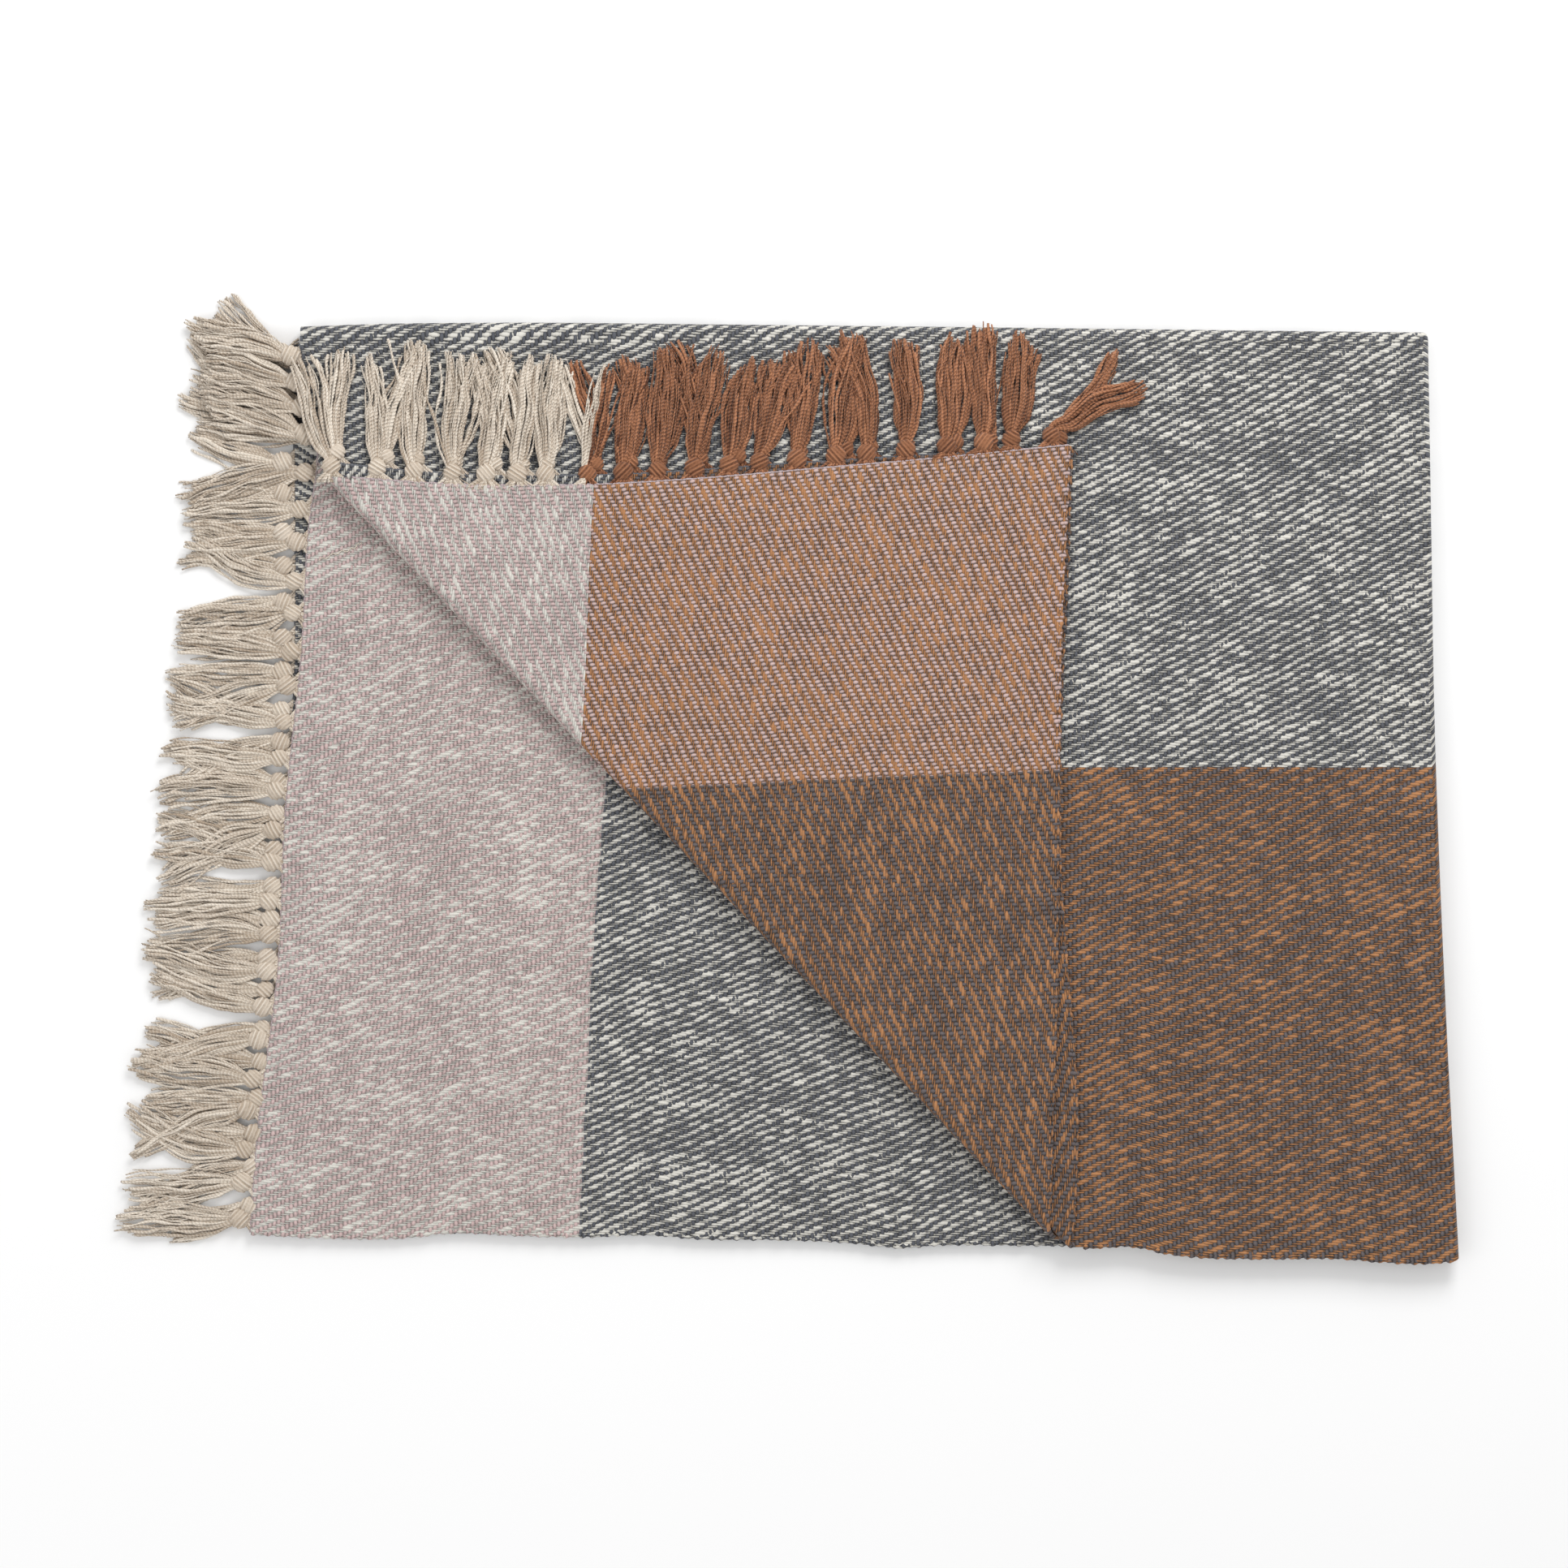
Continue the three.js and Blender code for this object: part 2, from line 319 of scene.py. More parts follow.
def between(left, right, side, columns=COLUMNS):
    """A grid between a left and a right boundary, given as rows of (x, y). The first row follows
    the selvedge, and its waves die out with the square of the share left to the last row."""
    s = np.linspace(0, 1, columns)
    x = mix(left[:, :1], right[:, :1], s)
    y = mix(left[:, 1:], right[:, 1:], s)
    fade = (1 - np.linspace(0, 1, len(left))[:, None]) ** 2
    return x, y + (side(x[0]) - y[0]) * fade


def crossing(offset, end=None, side=None):
    """Distance along the fold line, from its joint's anchor, at which a line parallel to it at an
    offset meets a fringed end or a selvedge, found in a few steps."""
    along = np.zeros_like(np.asarray(offset, float))
    for _ in range(14):
        x = SLANT[0] + RUN[0] * along + INWARD[0] * offset
        y = SLANT[1] + RUN[1] * along + INWARD[1] * offset
        if end is not None:
            along = along + (end(y) - x) / RUN[0]
        else:
            along = along + (side(x) - y) / RUN[1]
    return along


def on_line(along, offset):
    """Points at distances along the fold line, at an offset from it."""
    return SLANT + np.outer(along, RUN) + np.outer(np.broadcast_to(offset, np.shape(along)), INWARD)


def up_the_end(end, y_low, y_high, rows):
    """Points up a fringed end from one y to another."""
    y = np.linspace(y_low, y_high, rows)
    return np.stack([end(y), y], axis=1)


def up_the_fold(y):
    """Points up the end-to-end fold."""
    return np.stack([turn_centre_x(y), y], axis=1)


def corner_height(end, side):
    """Height at which a fringed end meets the selvedge."""
    y = LOWER_LEFT_Y
    for _ in range(10):
        y = float(side(end(y)))
    return y


def lower_layer(layer):
    """Grid of a lower layer, from the fringed end to the end fold."""
    left = up_the_end(ends[layer], corner_height(ends[layer], sides[layer]), SEAM_Y, ROWS)
    foot = float(sides[layer](RIGHT_X))
    right = up_the_fold(np.linspace(foot, SEAM_Y, ROWS))
    return between(left, right, sides[layer])


def upper_layer(layer):
    """Grid of an upper layer without its corner. Its left boundary runs up beside the slanting
    fold and then up the part of the fringed end that isn't turned back."""
    end, side = ends[layer], sides[layer]
    low, high = crossing(MARGIN, side=side), crossing(MARGIN, end=end)
    slanting = on_line(np.linspace(low, high, ROWS - FREE_END_ROWS), MARGIN)
    above = up_the_end(end, slanting[-1, 1], SEAM_Y, FREE_END_ROWS + 1)[1:]
    left = np.concatenate([slanting, above])
    climbed = (left[:, 1] - left[0, 1]) / (SEAM_Y - left[0, 1])
    right = up_the_fold(mix(float(side(RIGHT_X)), SEAM_Y, climbed))
    return between(left, right, side)


def flap_layer(layer, radius):
    """Grid of the turned-back corner of an upper layer, opened flat: a triangle between the
    fringed end, the selvedge and the slanting fold."""
    end, side = ends[layer], sides[layer]
    offset = -MARGIN - math.pi * radius
    low, high = float(crossing(offset, side=side)), float(crossing(offset, end=end))
    share = np.linspace(0, FLAP_TOP, ROWS)
    right = on_line(mix(low, high, share), offset)
    y = mix(corner_height(end, side), on_line([high], offset)[0, 1], share)
    left = np.stack([end(y), y], axis=1)
    return between(left, right, side, FLAP_COLUMNS)


def corner_strip(layer, radius, across):
    """Grid of the slanting turn of an upper layer, opened flat: lines parallel to the fold from
    the flat cloth to the flap, each cut off at the fringed end and at the selvedge."""
    offset = np.linspace(MARGIN, -MARGIN - math.pi * radius, across)
    high, low = crossing(offset, end=ends[layer]), crossing(offset, side=sides[layer])
    along = mix(low, high, np.linspace(0, 1, FOLD_ROWS)[:, None])
    x = SLANT[0] + RUN[0] * along + INWARD[0] * offset
    y = SLANT[1] + RUN[1] * along + INWARD[1] * offset
    return x, y


# %% Turn a grid into a sheet of cloth
def build_mesh(name, points, quads, uv, attributes=None):
    """A mesh object from arrays of points and four-cornered faces, with one texture coordinate and
    any further values for each point. Open edges are marked sharp, so that cloth ends crisply."""
    mesh = bpy.data.meshes.new(name)
    mesh.from_pydata(points.tolist(), [], quads.tolist())
    layer = mesh.uv_layers.new(name="cloth")
    corners = np.zeros(len(mesh.loops), np.int32)
    mesh.loops.foreach_get("vertex_index", corners)
    layer.data.foreach_set("uv", uv[corners].astype(np.float32).ravel())
    for key, values in (attributes or {}).items():
        attribute = mesh.attributes.new(key, "FLOAT", "POINT")
        attribute.data.foreach_set("value", values.astype(np.float32))
    edges = np.zeros(len(mesh.loops), np.int32)
    mesh.loops.foreach_get("edge_index", edges)
    sharp = np.bincount(edges, minlength=len(mesh.edges)) == 1
    mesh.attributes.new("sharp_edge", "BOOLEAN", "EDGE").data.foreach_set("value", sharp)
    mesh.polygons.foreach_set("use_smooth", np.ones(len(mesh.polygons), bool))
    piece = bpy.data.objects.new(name, mesh)
    bpy.context.scene.collection.objects.link(piece)
    return piece


def grid_faces(rows, columns):
    """Faces of a grid, wound to face up when rows go up and columns go right."""
    index = np.arange(rows * columns).reshape(rows, columns)
    quads = [index[:-1, :-1], index[:-1, 1:], index[1:, 1:], index[1:, :-1]]
    return np.stack(quads, axis=-1).reshape(-1, 4)


def sheet_of_cloth(name, x, y, z, u, v, material):
    """A sheet of cloth. The grid is the middle of the cloth, and Solidify thickens it both ways."""
    points = np.stack([x, y, swelled(x, y, z)], axis=-1).reshape(-1, 3)
    uv = np.stack([u, v], axis=-1).reshape(-1, 2)
    piece = build_mesh(name, points, grid_faces(*x.shape), uv)
    thick = piece.modifiers.new("thickness", "SOLIDIFY")
    thick.thickness = THICKNESS
    thick.offset = 0
    piece.data.materials.append(material)
    pieces[name] = piece
    grids[name] = (x, y, z, u, v)
    print(name, "has", len(piece.data.polygons), "faces")


# %% [markdown]
# ## Finishes
#
# The cloth is a four-end twill: every warp yarn passes over two wefts and under two, and each
# neighbour starts one weft later, which draws the slanting ribs. The warp is slub yarn, spun
# unevenly on purpose: it swells to twice its thickness for a centimetre or two, spreads over its
# neighbours, and gives the broken, streaky ribs. The drawing works out the height of the two
# nearest warp yarns and of the weft at each point, and the highest one is seen. Its colour is
# darkened with painted shade where it lies low, in the crevices between yarns.

# %% Colours and one function that adds a node
def linear(hex_colour):
    """An sRGB hex colour as linear red, green, blue and 1."""
    parts = [int(hex_colour[i:i + 2], 16) / 255 for i in (1, 3, 5)]
    return [c / 12.92 if c <= 0.04045 else ((c + 0.055) / 1.055) ** 2.4 for c in parts] + [1.0]


CREAM_WARP = linear("#cdcac2")
RUST_WARP = linear("#aa7850")
MAUVE_WEFT = linear("#c8b0ad")
CHARCOAL_WEFT = linear("#585a60")


def add(tree, kind, inputs=(), out=0, **settings):
    """Add a node, set its settings, and give each input, by place or by name, a value or a link.
    Returns the output socket."""
    made = tree.nodes.new(kind)
    for key, value in settings.items():
        setattr(made, key, value)
    pairs = inputs.items() if isinstance(inputs, dict) else enumerate(inputs)
    for key, value in pairs:
        if isinstance(value, bpy.types.NodeSocket):
            tree.links.new(value, made.inputs[key])
        else:
            made.inputs[key].default_value = value
    return made.outputs[out] if made.outputs else made


def new_material(name):
    """An empty node material, its tree, and a short way to add a math node."""
    material = bpy.data.materials.new(name)
    material.use_nodes = True
    tree = material.node_tree
    tree.nodes.clear()

    def calc(operation, *values, clamp=False):
        """One step of arithmetic on values or links."""
        return add(tree, "ShaderNodeMath", values, operation=operation, use_clamp=clamp)

    return material, tree, calc


def blended(calc, first, second, share):
    """A value a share of the way from the first to the second."""
    return calc("MULTIPLY_ADD", calc("SUBTRACT", second, first), share, first)


def mixed(tree, share, first, second):
    """A colour a share of the way from the first to the second."""
    made = tree.nodes.new("ShaderNodeMix")
    made.data_type = "RGBA"
    for key, value in ((0, share), (6, first), (7, second)):
        if isinstance(value, bpy.types.NodeSocket):
            tree.links.new(value, made.inputs[key])
        else:
            made.inputs[key].default_value = value
    return made.outputs[2]


def finish_cotton(tree, colour, height, depth, fuzz):
    """Cotton: dull, with a faint sheen from loose fibres, and relief from the height."""
    normal = add(tree, "ShaderNodeBump", {"Strength": 1.0, "Distance": depth, "Height": height})
    shader = add(tree, "ShaderNodeBsdfPrincipled", {"Base Color": colour, "Normal": normal})
    made = shader.node
    made.inputs["Roughness"].default_value = 0.88
    made.inputs["Specular IOR Level"].default_value = 0.18
    made.inputs["Sheen Weight"].default_value = fuzz
    made.inputs["Sheen Roughness"].default_value = 0.6
    add(tree, "ShaderNodeOutputMaterial", {"Surface": shader})


# %% [markdown]
# ### The numbers of the weave
#
# Pitches, wander and relief are in metres, and widths are shares of a yarn's spacing. Heights are
# in units of the wave that a yarn makes as it goes over and under, so only their differences
# count. Luck lets some floats stand higher than others, wander bends the yarns a little off
# straight, and patches make some areas more slubby, which reads as light and dark streaks.

# %% Spacing and slub of the cloth's yarns
WARP_PITCH = 0.00155
WEFT_PITCH = 0.0029
YARN_HEIGHT = 1.6
WARP_WIDTH, WEFT_WIDTH = 0.80, 0.90
WARP_SINKS = -0.86
SLUBS_PER_METRE = 66.0
SLUB_CHANGE = 0.46
SLUB_FROM, SLUB_TO = 0.44, 0.66
SLUB_WIDENS, SLUB_LIFTS = 0.92, 1.50
WARP_LUCK, WEFT_LUCK = 0.80, 0.4
WANDER_ALONG, WANDER_ACROSS = 0.0032, 0.0018
PATCHES_ALONG, PATCHES_ACROSS, PATCH_SHARE = 14.0, 42.0, 0.30
EDGE_BLUR = 0.08
RUST_SHOWS_THROUGH = 0.11
RELIEF = 0.0005
print("slubs are about", round(1000 / SLUBS_PER_METRE), "mm long")


# %% Twill cloth
def twill_cloth():
    """Cotton twill, drawn on the cloth's own coordinates.

    Warp yarn i and weft yarn j cross in step m, the remainder of i + j by four. Along a warp yarn
    its height is a cosine over four wefts, and along a weft yarn it is the same over four warp
    yarns, half a cycle later. Across each yarn it is a low dome, wider where the yarn swells. The
    highest yarn is seen."""
    material, tree, calc = new_material("cotton_twill")
    place = add(tree, "ShaderNodeUVMap", uv_map="cloth")
    u = add(tree, "ShaderNodeSeparateXYZ", [place], out=0)
    v = add(tree, "ShaderNodeSeparateXYZ", [place], out=1)
    wander = add(tree, "ShaderNodeTexNoise", {"Vector": place, "Scale": 60.0, "Detail": 3.0})
    wander = calc("SUBTRACT", wander, 0.5)
    drift = add(tree, "ShaderNodeTexNoise", {"Vector": place, "Scale": 11.0, "Detail": 1.0})
    wander = calc("MULTIPLY_ADD", calc("SUBTRACT", drift, 0.5), 1.2, wander)
    u_moved = calc("MULTIPLY_ADD", wander, WANDER_ALONG, u)
    v_moved = calc("MULTIPLY_ADD", wander, WANDER_ACROSS, v)
    rust = calc("LESS_THAN", v_moved, RUST_BAND)

    weft = calc("DIVIDE", u_moved, WEFT_PITCH)
    weft_number = calc("FLOOR", weft)
    weft_across = calc("MULTIPLY_ADD", calc("FRACT", weft), 2.0, -1.0)
    warp = calc("DIVIDE", v_moved, WARP_PITCH)
    near = calc("FLOOR", warp)
    beside = calc("ADD", near, calc("SIGN", calc("SUBTRACT", calc("FRACT", warp), 0.5)))

    mauve = calc("LESS_THAN", u_moved, MAUVE_BAND)
    patch_place = add(tree, "ShaderNodeCombineXYZ",
                      [calc("MULTIPLY", u, PATCHES_ALONG), calc("MULTIPLY", v, PATCHES_ACROSS), 0.0])
    patch = add(tree, "ShaderNodeTexNoise", {"Vector": patch_place, "Scale": 1.0, "Detail": 2.0})
    patch = calc("MULTIPLY", calc("SUBTRACT", patch, 0.5), PATCH_SHARE)

    def along(crossing_sum, place_in_step):
        """Cosine over four steps, highest at the middle of the first two."""
        whole = calc("ADD", crossing_sum, place_in_step)
        return calc("COSINE", calc("MULTIPLY", calc("SUBTRACT", whole, 1.0), math.pi / 2))

    def dome(across, width):
        """1 at the middle of a yarn, and 0 at a share of the way to its neighbours."""
        centred = calc("DIVIDE", across, width)
        return calc("SUBTRACT", 1.0, calc("MULTIPLY", centred, centred))

    def float_chance(yarn_number, warp_number):
        """A random value for each stretch that a yarn lies on top or beneath."""
        stretch = calc("FLOOR", calc("DIVIDE", calc("ADD", warp_number, weft_number), 4.0))
        key = add(tree, "ShaderNodeCombineXYZ", [yarn_number, stretch, 0.0])
        return add(tree, "ShaderNodeTexWhiteNoise", [key], noise_dimensions="2D")

    def warp_yarn(number):
        """Height, swelling and chance of one warp yarn at this point."""
        across = calc("MULTIPLY_ADD", calc("SUBTRACT", warp, number), 2.0, -1.0)
        on_rib = calc("MULTIPLY_ADD", number, WEFT_PITCH / 2, u)
        slub_place = add(tree, "ShaderNodeCombineXYZ", [calc("MULTIPLY", on_rib, SLUBS_PER_METRE),
                                                        calc("MULTIPLY", number, SLUB_CHANGE), 0.0])
        slub = add(tree, "ShaderNodeTexNoise", {"Vector": slub_place, "Scale": 1.0, "Detail": 3.0,
                                                "Roughness": 0.7})
        slub = calc("ADD", slub, patch)
        slub = add(tree, "ShaderNodeMapRange",
                   {"Value": slub, "From Min": SLUB_FROM, "From Max": SLUB_TO})
        slub = calc("MULTIPLY", slub, calc("MULTIPLY_ADD", rust, -0.25, 1.0))
        chance = float_chance(number, number)
        rise = along(calc("ADD", number, weft_number), calc("MULTIPLY_ADD", weft_across, 0.5, 0.5))
        width = calc("MULTIPLY_ADD", slub, SLUB_WIDENS, WARP_WIDTH)
        height = calc("MULTIPLY_ADD", dome(across, width), YARN_HEIGHT, rise)
        height = calc("MULTIPLY_ADD", slub, SLUB_LIFTS, height)
        height = calc("MULTIPLY_ADD", rust, 0.12, calc("ADD", height, WARP_SINKS))
        height = calc("MULTIPLY_ADD", calc("MULTIPLY", rust, mauve), 0.28, height)
        return calc("MULTIPLY_ADD", calc("SUBTRACT", chance, 0.5), WARP_LUCK, height), slub, chance

    near_height, near_slub, near_chance = warp_yarn(near)
    beside_height, beside_slub, beside_chance = warp_yarn(beside)
    taken = calc("GREATER_THAN", beside_height, near_height)
    warp_height = calc("MAXIMUM", near_height, beside_height)
    slub = blended(calc, near_slub, beside_slub, taken)
    warp_chance = blended(calc, near_chance, beside_chance, taken)
    weft_chance = float_chance(weft_number, near)
    under = along(calc("ADD", near, weft_number), calc("FRACT", warp))
    weft_dome = calc("MULTIPLY", dome(weft_across, WEFT_WIDTH), YARN_HEIGHT)
    weft_height = calc("SUBTRACT", weft_dome, under)
    weft_height = calc("MULTIPLY_ADD", calc("SUBTRACT", weft_chance, 0.5), WEFT_LUCK, weft_height)
    lead = calc("SUBTRACT", warp_height, weft_height)
    warp_seen = add(tree, "ShaderNodeMapRange",
                    {"Value": lead, "From Min": -EDGE_BLUR, "From Max": EDGE_BLUR})
    height = calc("MAXIMUM", warp_height, weft_height)

    warp_colour = mixed(tree, rust, CREAM_WARP, RUST_WARP)
    weft_colour = mixed(tree, mauve, CHARCOAL_WEFT, MAUVE_WEFT)
    weft_colour = mixed(tree, calc("MULTIPLY", rust, RUST_SHOWS_THROUGH), weft_colour, RUST_WARP)

    fibre = add(tree, "ShaderNodeTexNoise", {"Vector": place, "Scale": 1300.0, "Detail": 2.0})
    cloud = add(tree, "ShaderNodeTexNoise", {"Vector": place, "Scale": 14.0, "Detail": 3.0})
    tone = calc("MULTIPLY_ADD", blended(calc, weft_chance, warp_chance, warp_seen), 0.18, 0.72)
    tone = calc("MULTIPLY_ADD", fibre, 0.16, tone)
    tone = calc("MULTIPLY_ADD", cloud, 0.16, tone)
    tone = calc("MULTIPLY_ADD", calc("MULTIPLY", slub, warp_seen), 0.10, tone)
    # Painted shade: the tone falls where the seen yarn lies low, in the crevices between yarns, and
    # falls less in the pale mauve and cream field.
    depth = add(tree, "ShaderNodeMapRange",
                {"Value": height, "From Min": -0.20, "From Max": 2.1, "To Min": 0.22, "To Max": 1.02})
    pale = calc("MULTIPLY", mauve, calc("SUBTRACT", 1.0, rust))
    depth = calc("POWER", depth, calc("MULTIPLY_ADD", pale, -0.45, 1.0))
    tone = calc("MULTIPLY", tone, depth)
    # More painted shade in the rust field, which darkens the low yarn further.
    tone = calc("MULTIPLY", tone, blended(calc, 1.0, calc("MULTIPLY_ADD", depth, 0.55, 0.45), rust))
    colour = mixed(tree, warp_seen, weft_colour, warp_colour)
    colour = add(tree, "ShaderNodeVectorMath", {0: colour, "Scale": tone}, operation="SCALE")
    undulating = add(tree, "ShaderNodeTexNoise", {"Vector": place, "Scale": 9.0, "Detail": 1.0})
    relief = calc("MULTIPLY_ADD", undulating, 9.0, calc("MULTIPLY_ADD", fibre, 0.15, height))
    finish_cotton(tree, colour, relief, RELIEF, 0.12)
    return material


cloth = twill_cloth()


# %% [markdown]
# ## The yarn of the fringe
#
# The tassels are the warp's own ends: thirteen thick slub yarns and thirteen thin ones to a
# bunch, gathered from the edge into one overhand knot. Their colour varies from yarn to yarn, and
# each is twisted, which gives fine slanting lines of relief and of painted shade.

# %% Fringe yarn
TWIST_LENGTH = 0.0026
YARN_RELIEF = 0.0006


def yarn(name, dark, light):
    """Cotton yarn. Each strand has its own tone, carried by its points, and the twist is a wave of
    height that climbs around the strand."""
    material, tree, calc = new_material(name)
    place = add(tree, "ShaderNodeUVMap", uv_map="cloth")
    along = add(tree, "ShaderNodeSeparateXYZ", [place], out=0)
    around = add(tree, "ShaderNodeSeparateXYZ", [place], out=1)
    turns = calc("MULTIPLY_ADD", along, 1 / TWIST_LENGTH, around)
    twist = calc("SINE", calc("MULTIPLY", turns, 2 * math.pi))
    tone = add(tree, "ShaderNodeAttribute", out=2, attribute_name="tone")
    spot = add(tree, "ShaderNodeTexCoord", out=3)
    fleck = add(tree, "ShaderNodeTexNoise", {"Vector": spot, "Scale": 700.0, "Detail": 2.0})
    share = calc("MULTIPLY_ADD", calc("SUBTRACT", fleck, 0.5), 0.55, tone)
    # Painted shade: the tone follows the twist, darker in the grooves between its turns.
    share = calc("MULTIPLY_ADD", twist, 0.20, share, clamp=True)
    colour = mixed(tree, share, dark, light)
    finish_cotton(tree, colour, calc("MULTIPLY_ADD", twist, 0.5, fleck), YARN_RELIEF, 0.15)
    return material


cream_yarn = yarn("cream_yarn", linear("#b3a18d"), linear("#eee3d4"))
rust_yarn = yarn("rust_yarn", linear("#583019"), linear("#b97f5b"))
mauve_yarn = yarn("mauve_yarn", linear("#97888a"), linear("#c6b6b8"))
charcoal_yarn = yarn("charcoal_yarn", linear("#4a4c52"), linear("#74767c"))

# %% [markdown]
# ## The flat layers
#
# The lower two layers are one sheet, from one fringed end through the end fold to the other, and
# so are the upper two. The end fold is a half circle of the layers' spacing, and it isn't a joint,
# so it belongs to the same grid as the layers beside it.

# %% Two layers joined at the end fold
TURN_STEPS = 9
pieces = {}
grids = {}


def pair_of_layers(name, top, bottom, build):
    """Sheet from the free end of the top layer, round the end fold, to the free end of the bottom
    one. Along the fold the angle runs from straight up to straight down."""
    x_top, y_top = build(top)
    x_low, y_low = build(bottom)
    angle = np.linspace(0, math.pi, TURN_STEPS + 2)[None, 1:-1]
    share = angle / math.pi
    x_turn = mix(x_top[:, -1:], x_low[:, -1:], share) + TIGHT_TURN * np.sin(angle)
    y_turn = mix(y_top[:, -1:], y_low[:, -1:], share)
    middle = (HEIGHT[top] + HEIGHT[bottom]) / 2
    z = np.concatenate([
        np.full_like(x_top, HEIGHT[top]),
        middle + TIGHT_TURN * np.cos(angle) + 0 * y_turn,
        np.full_like(x_low, HEIGHT[bottom]),
    ], axis=1)
    u_top, v_top = cloth_place(top, x_top, y_top)
    u_low, v_low = cloth_place(bottom, x_low, y_low)
    x = np.concatenate([x_top, x_turn, x_low[:, ::-1]], axis=1)
    y = np.concatenate([y_top, y_turn, y_low[:, ::-1]], axis=1)
    u = np.concatenate([u_top, mix(u_top[:, -1:], u_low[:, -1:], share), u_low[:, ::-1]], axis=1)
    v = np.concatenate([v_top, mix(v_top[:, -1:], v_low[:, -1:], share), v_low[:, ::-1]], axis=1)
    sheet_of_cloth(name, x, y, z, u, v, cloth)


pair_of_layers("cloth_lower", "lower_inner", "lower_outer", lower_layer)
pair_of_layers("cloth_upper", "upper_outer", "upper_inner", upper_layer)

# %% [markdown]
# ## The turned-back corner and its slanting fold
#
# The corner's two layers are drawn opened flat and then turned back over the fold line, so that
# the ribs and the colour bands meet at the fold as they do in one piece of cloth. The fold itself
# is a separate strip.

# %% Flap and slanting turns
CORNER_LAYERS = [("outer", "upper_inner", WIDE_TURN, 17), ("inner", "upper_outer", TIGHT_TURN, 13)]
for label, layer, turn, steps in CORNER_LAYERS:
    flat_x, flat_y = flap_layer(layer, turn)
    u, v = cloth_place(layer, flat_x, flat_y)
    x, y, z = turned_back(flat_x, flat_y, HEIGHT[layer], turn)
    sheet_of_cloth(f"cloth_flap_{label}", x, y, z, u, v, cloth)
    flat_x, flat_y = corner_strip(layer, turn, steps)
    u, v = cloth_place(layer, flat_x, flat_y)
    x, y, z = turned_back(flat_x, flat_y, HEIGHT[layer], turn)
    sheet_of_cloth(f"turn_corner_{label}", x, y, z, u, v, cloth)

# %% [markdown]
# ## The fold at the top
#
# Two layers turn inside two others. At the right, where the throw is folded end to end as well,
# the inner turn runs round into the outer one, and each strip takes half of that corner.

# %% Top turns
TOP_BULGE = through([
    (-0.345, 0.0000), (-0.28, 0.0022), (-0.20, 0.0030), (-0.05, 0.0018), (0.10, 0.0002),
    (0.30, -0.0022), (0.46, -0.0040),
])


def top_turn(name, upper, radius, sign, steps):
    """Strip round the top fold. Its rows run from the flat upper layer, round a half circle about
    the fold line, to the flat lower layer. At the right its columns go a quarter turn round the
    end fold, where the radius changes to the mean of the two strips' (sign 1 for the outer strip,
    and -1 for the inner one)."""
    corner = np.linspace(0, math.pi / 2, 5)[1:]
    x_end = float(turn_centre_x(SEAM_Y))
    x_left = float(ends[upper](SEAM_Y))
    x = np.concatenate([np.linspace(x_left, x_end, COLUMNS), x_end + TIGHT_TURN * np.sin(corner)])
    rounded = radius - sign * TIGHT_TURN * (1 - np.cos(corner))
    spread = np.concatenate([np.full(COLUMNS, radius), rounded])
    angle = np.linspace(math.pi / 2, -math.pi / 2, steps)[:, None]
    bulge = TOP_BULGE(x)
    y = np.concatenate([
        np.full((1, len(x)), SEAM_Y),
        TOP_Y + bulge + spread * np.cos(angle),
        np.full((1, len(x)), SEAM_Y),
    ])
    z = np.concatenate([[TOP_Z + spread], TOP_Z + spread * np.sin(angle), [TOP_Z - spread]])
    x = np.broadcast_to(x, y.shape)
    distance = np.concatenate([[0], MARGIN + radius * (math.pi / 2 - angle[:, 0]),
                               [2 * MARGIN + math.pi * radius]])[:, None]
    u, v = cloth_place(upper, x, np.full_like(x, SEAM_Y))
    sheet_of_cloth(name, x[::-1], y[::-1], z[::-1], u[::-1], (v + distance)[::-1], cloth)


top_turn("turn_top_outer", "upper_outer", WIDE_TURN, 1, 19)
top_turn("turn_top_inner", "upper_inner", TIGHT_TURN, -1, 11)

# %% [markdown]
# ## Tubes of yarn
#
# Selvedges, headings, tassels and knots are all yarn, drawn as tubes round lines of points. All
# the strands of a row are worked out together as arrays.

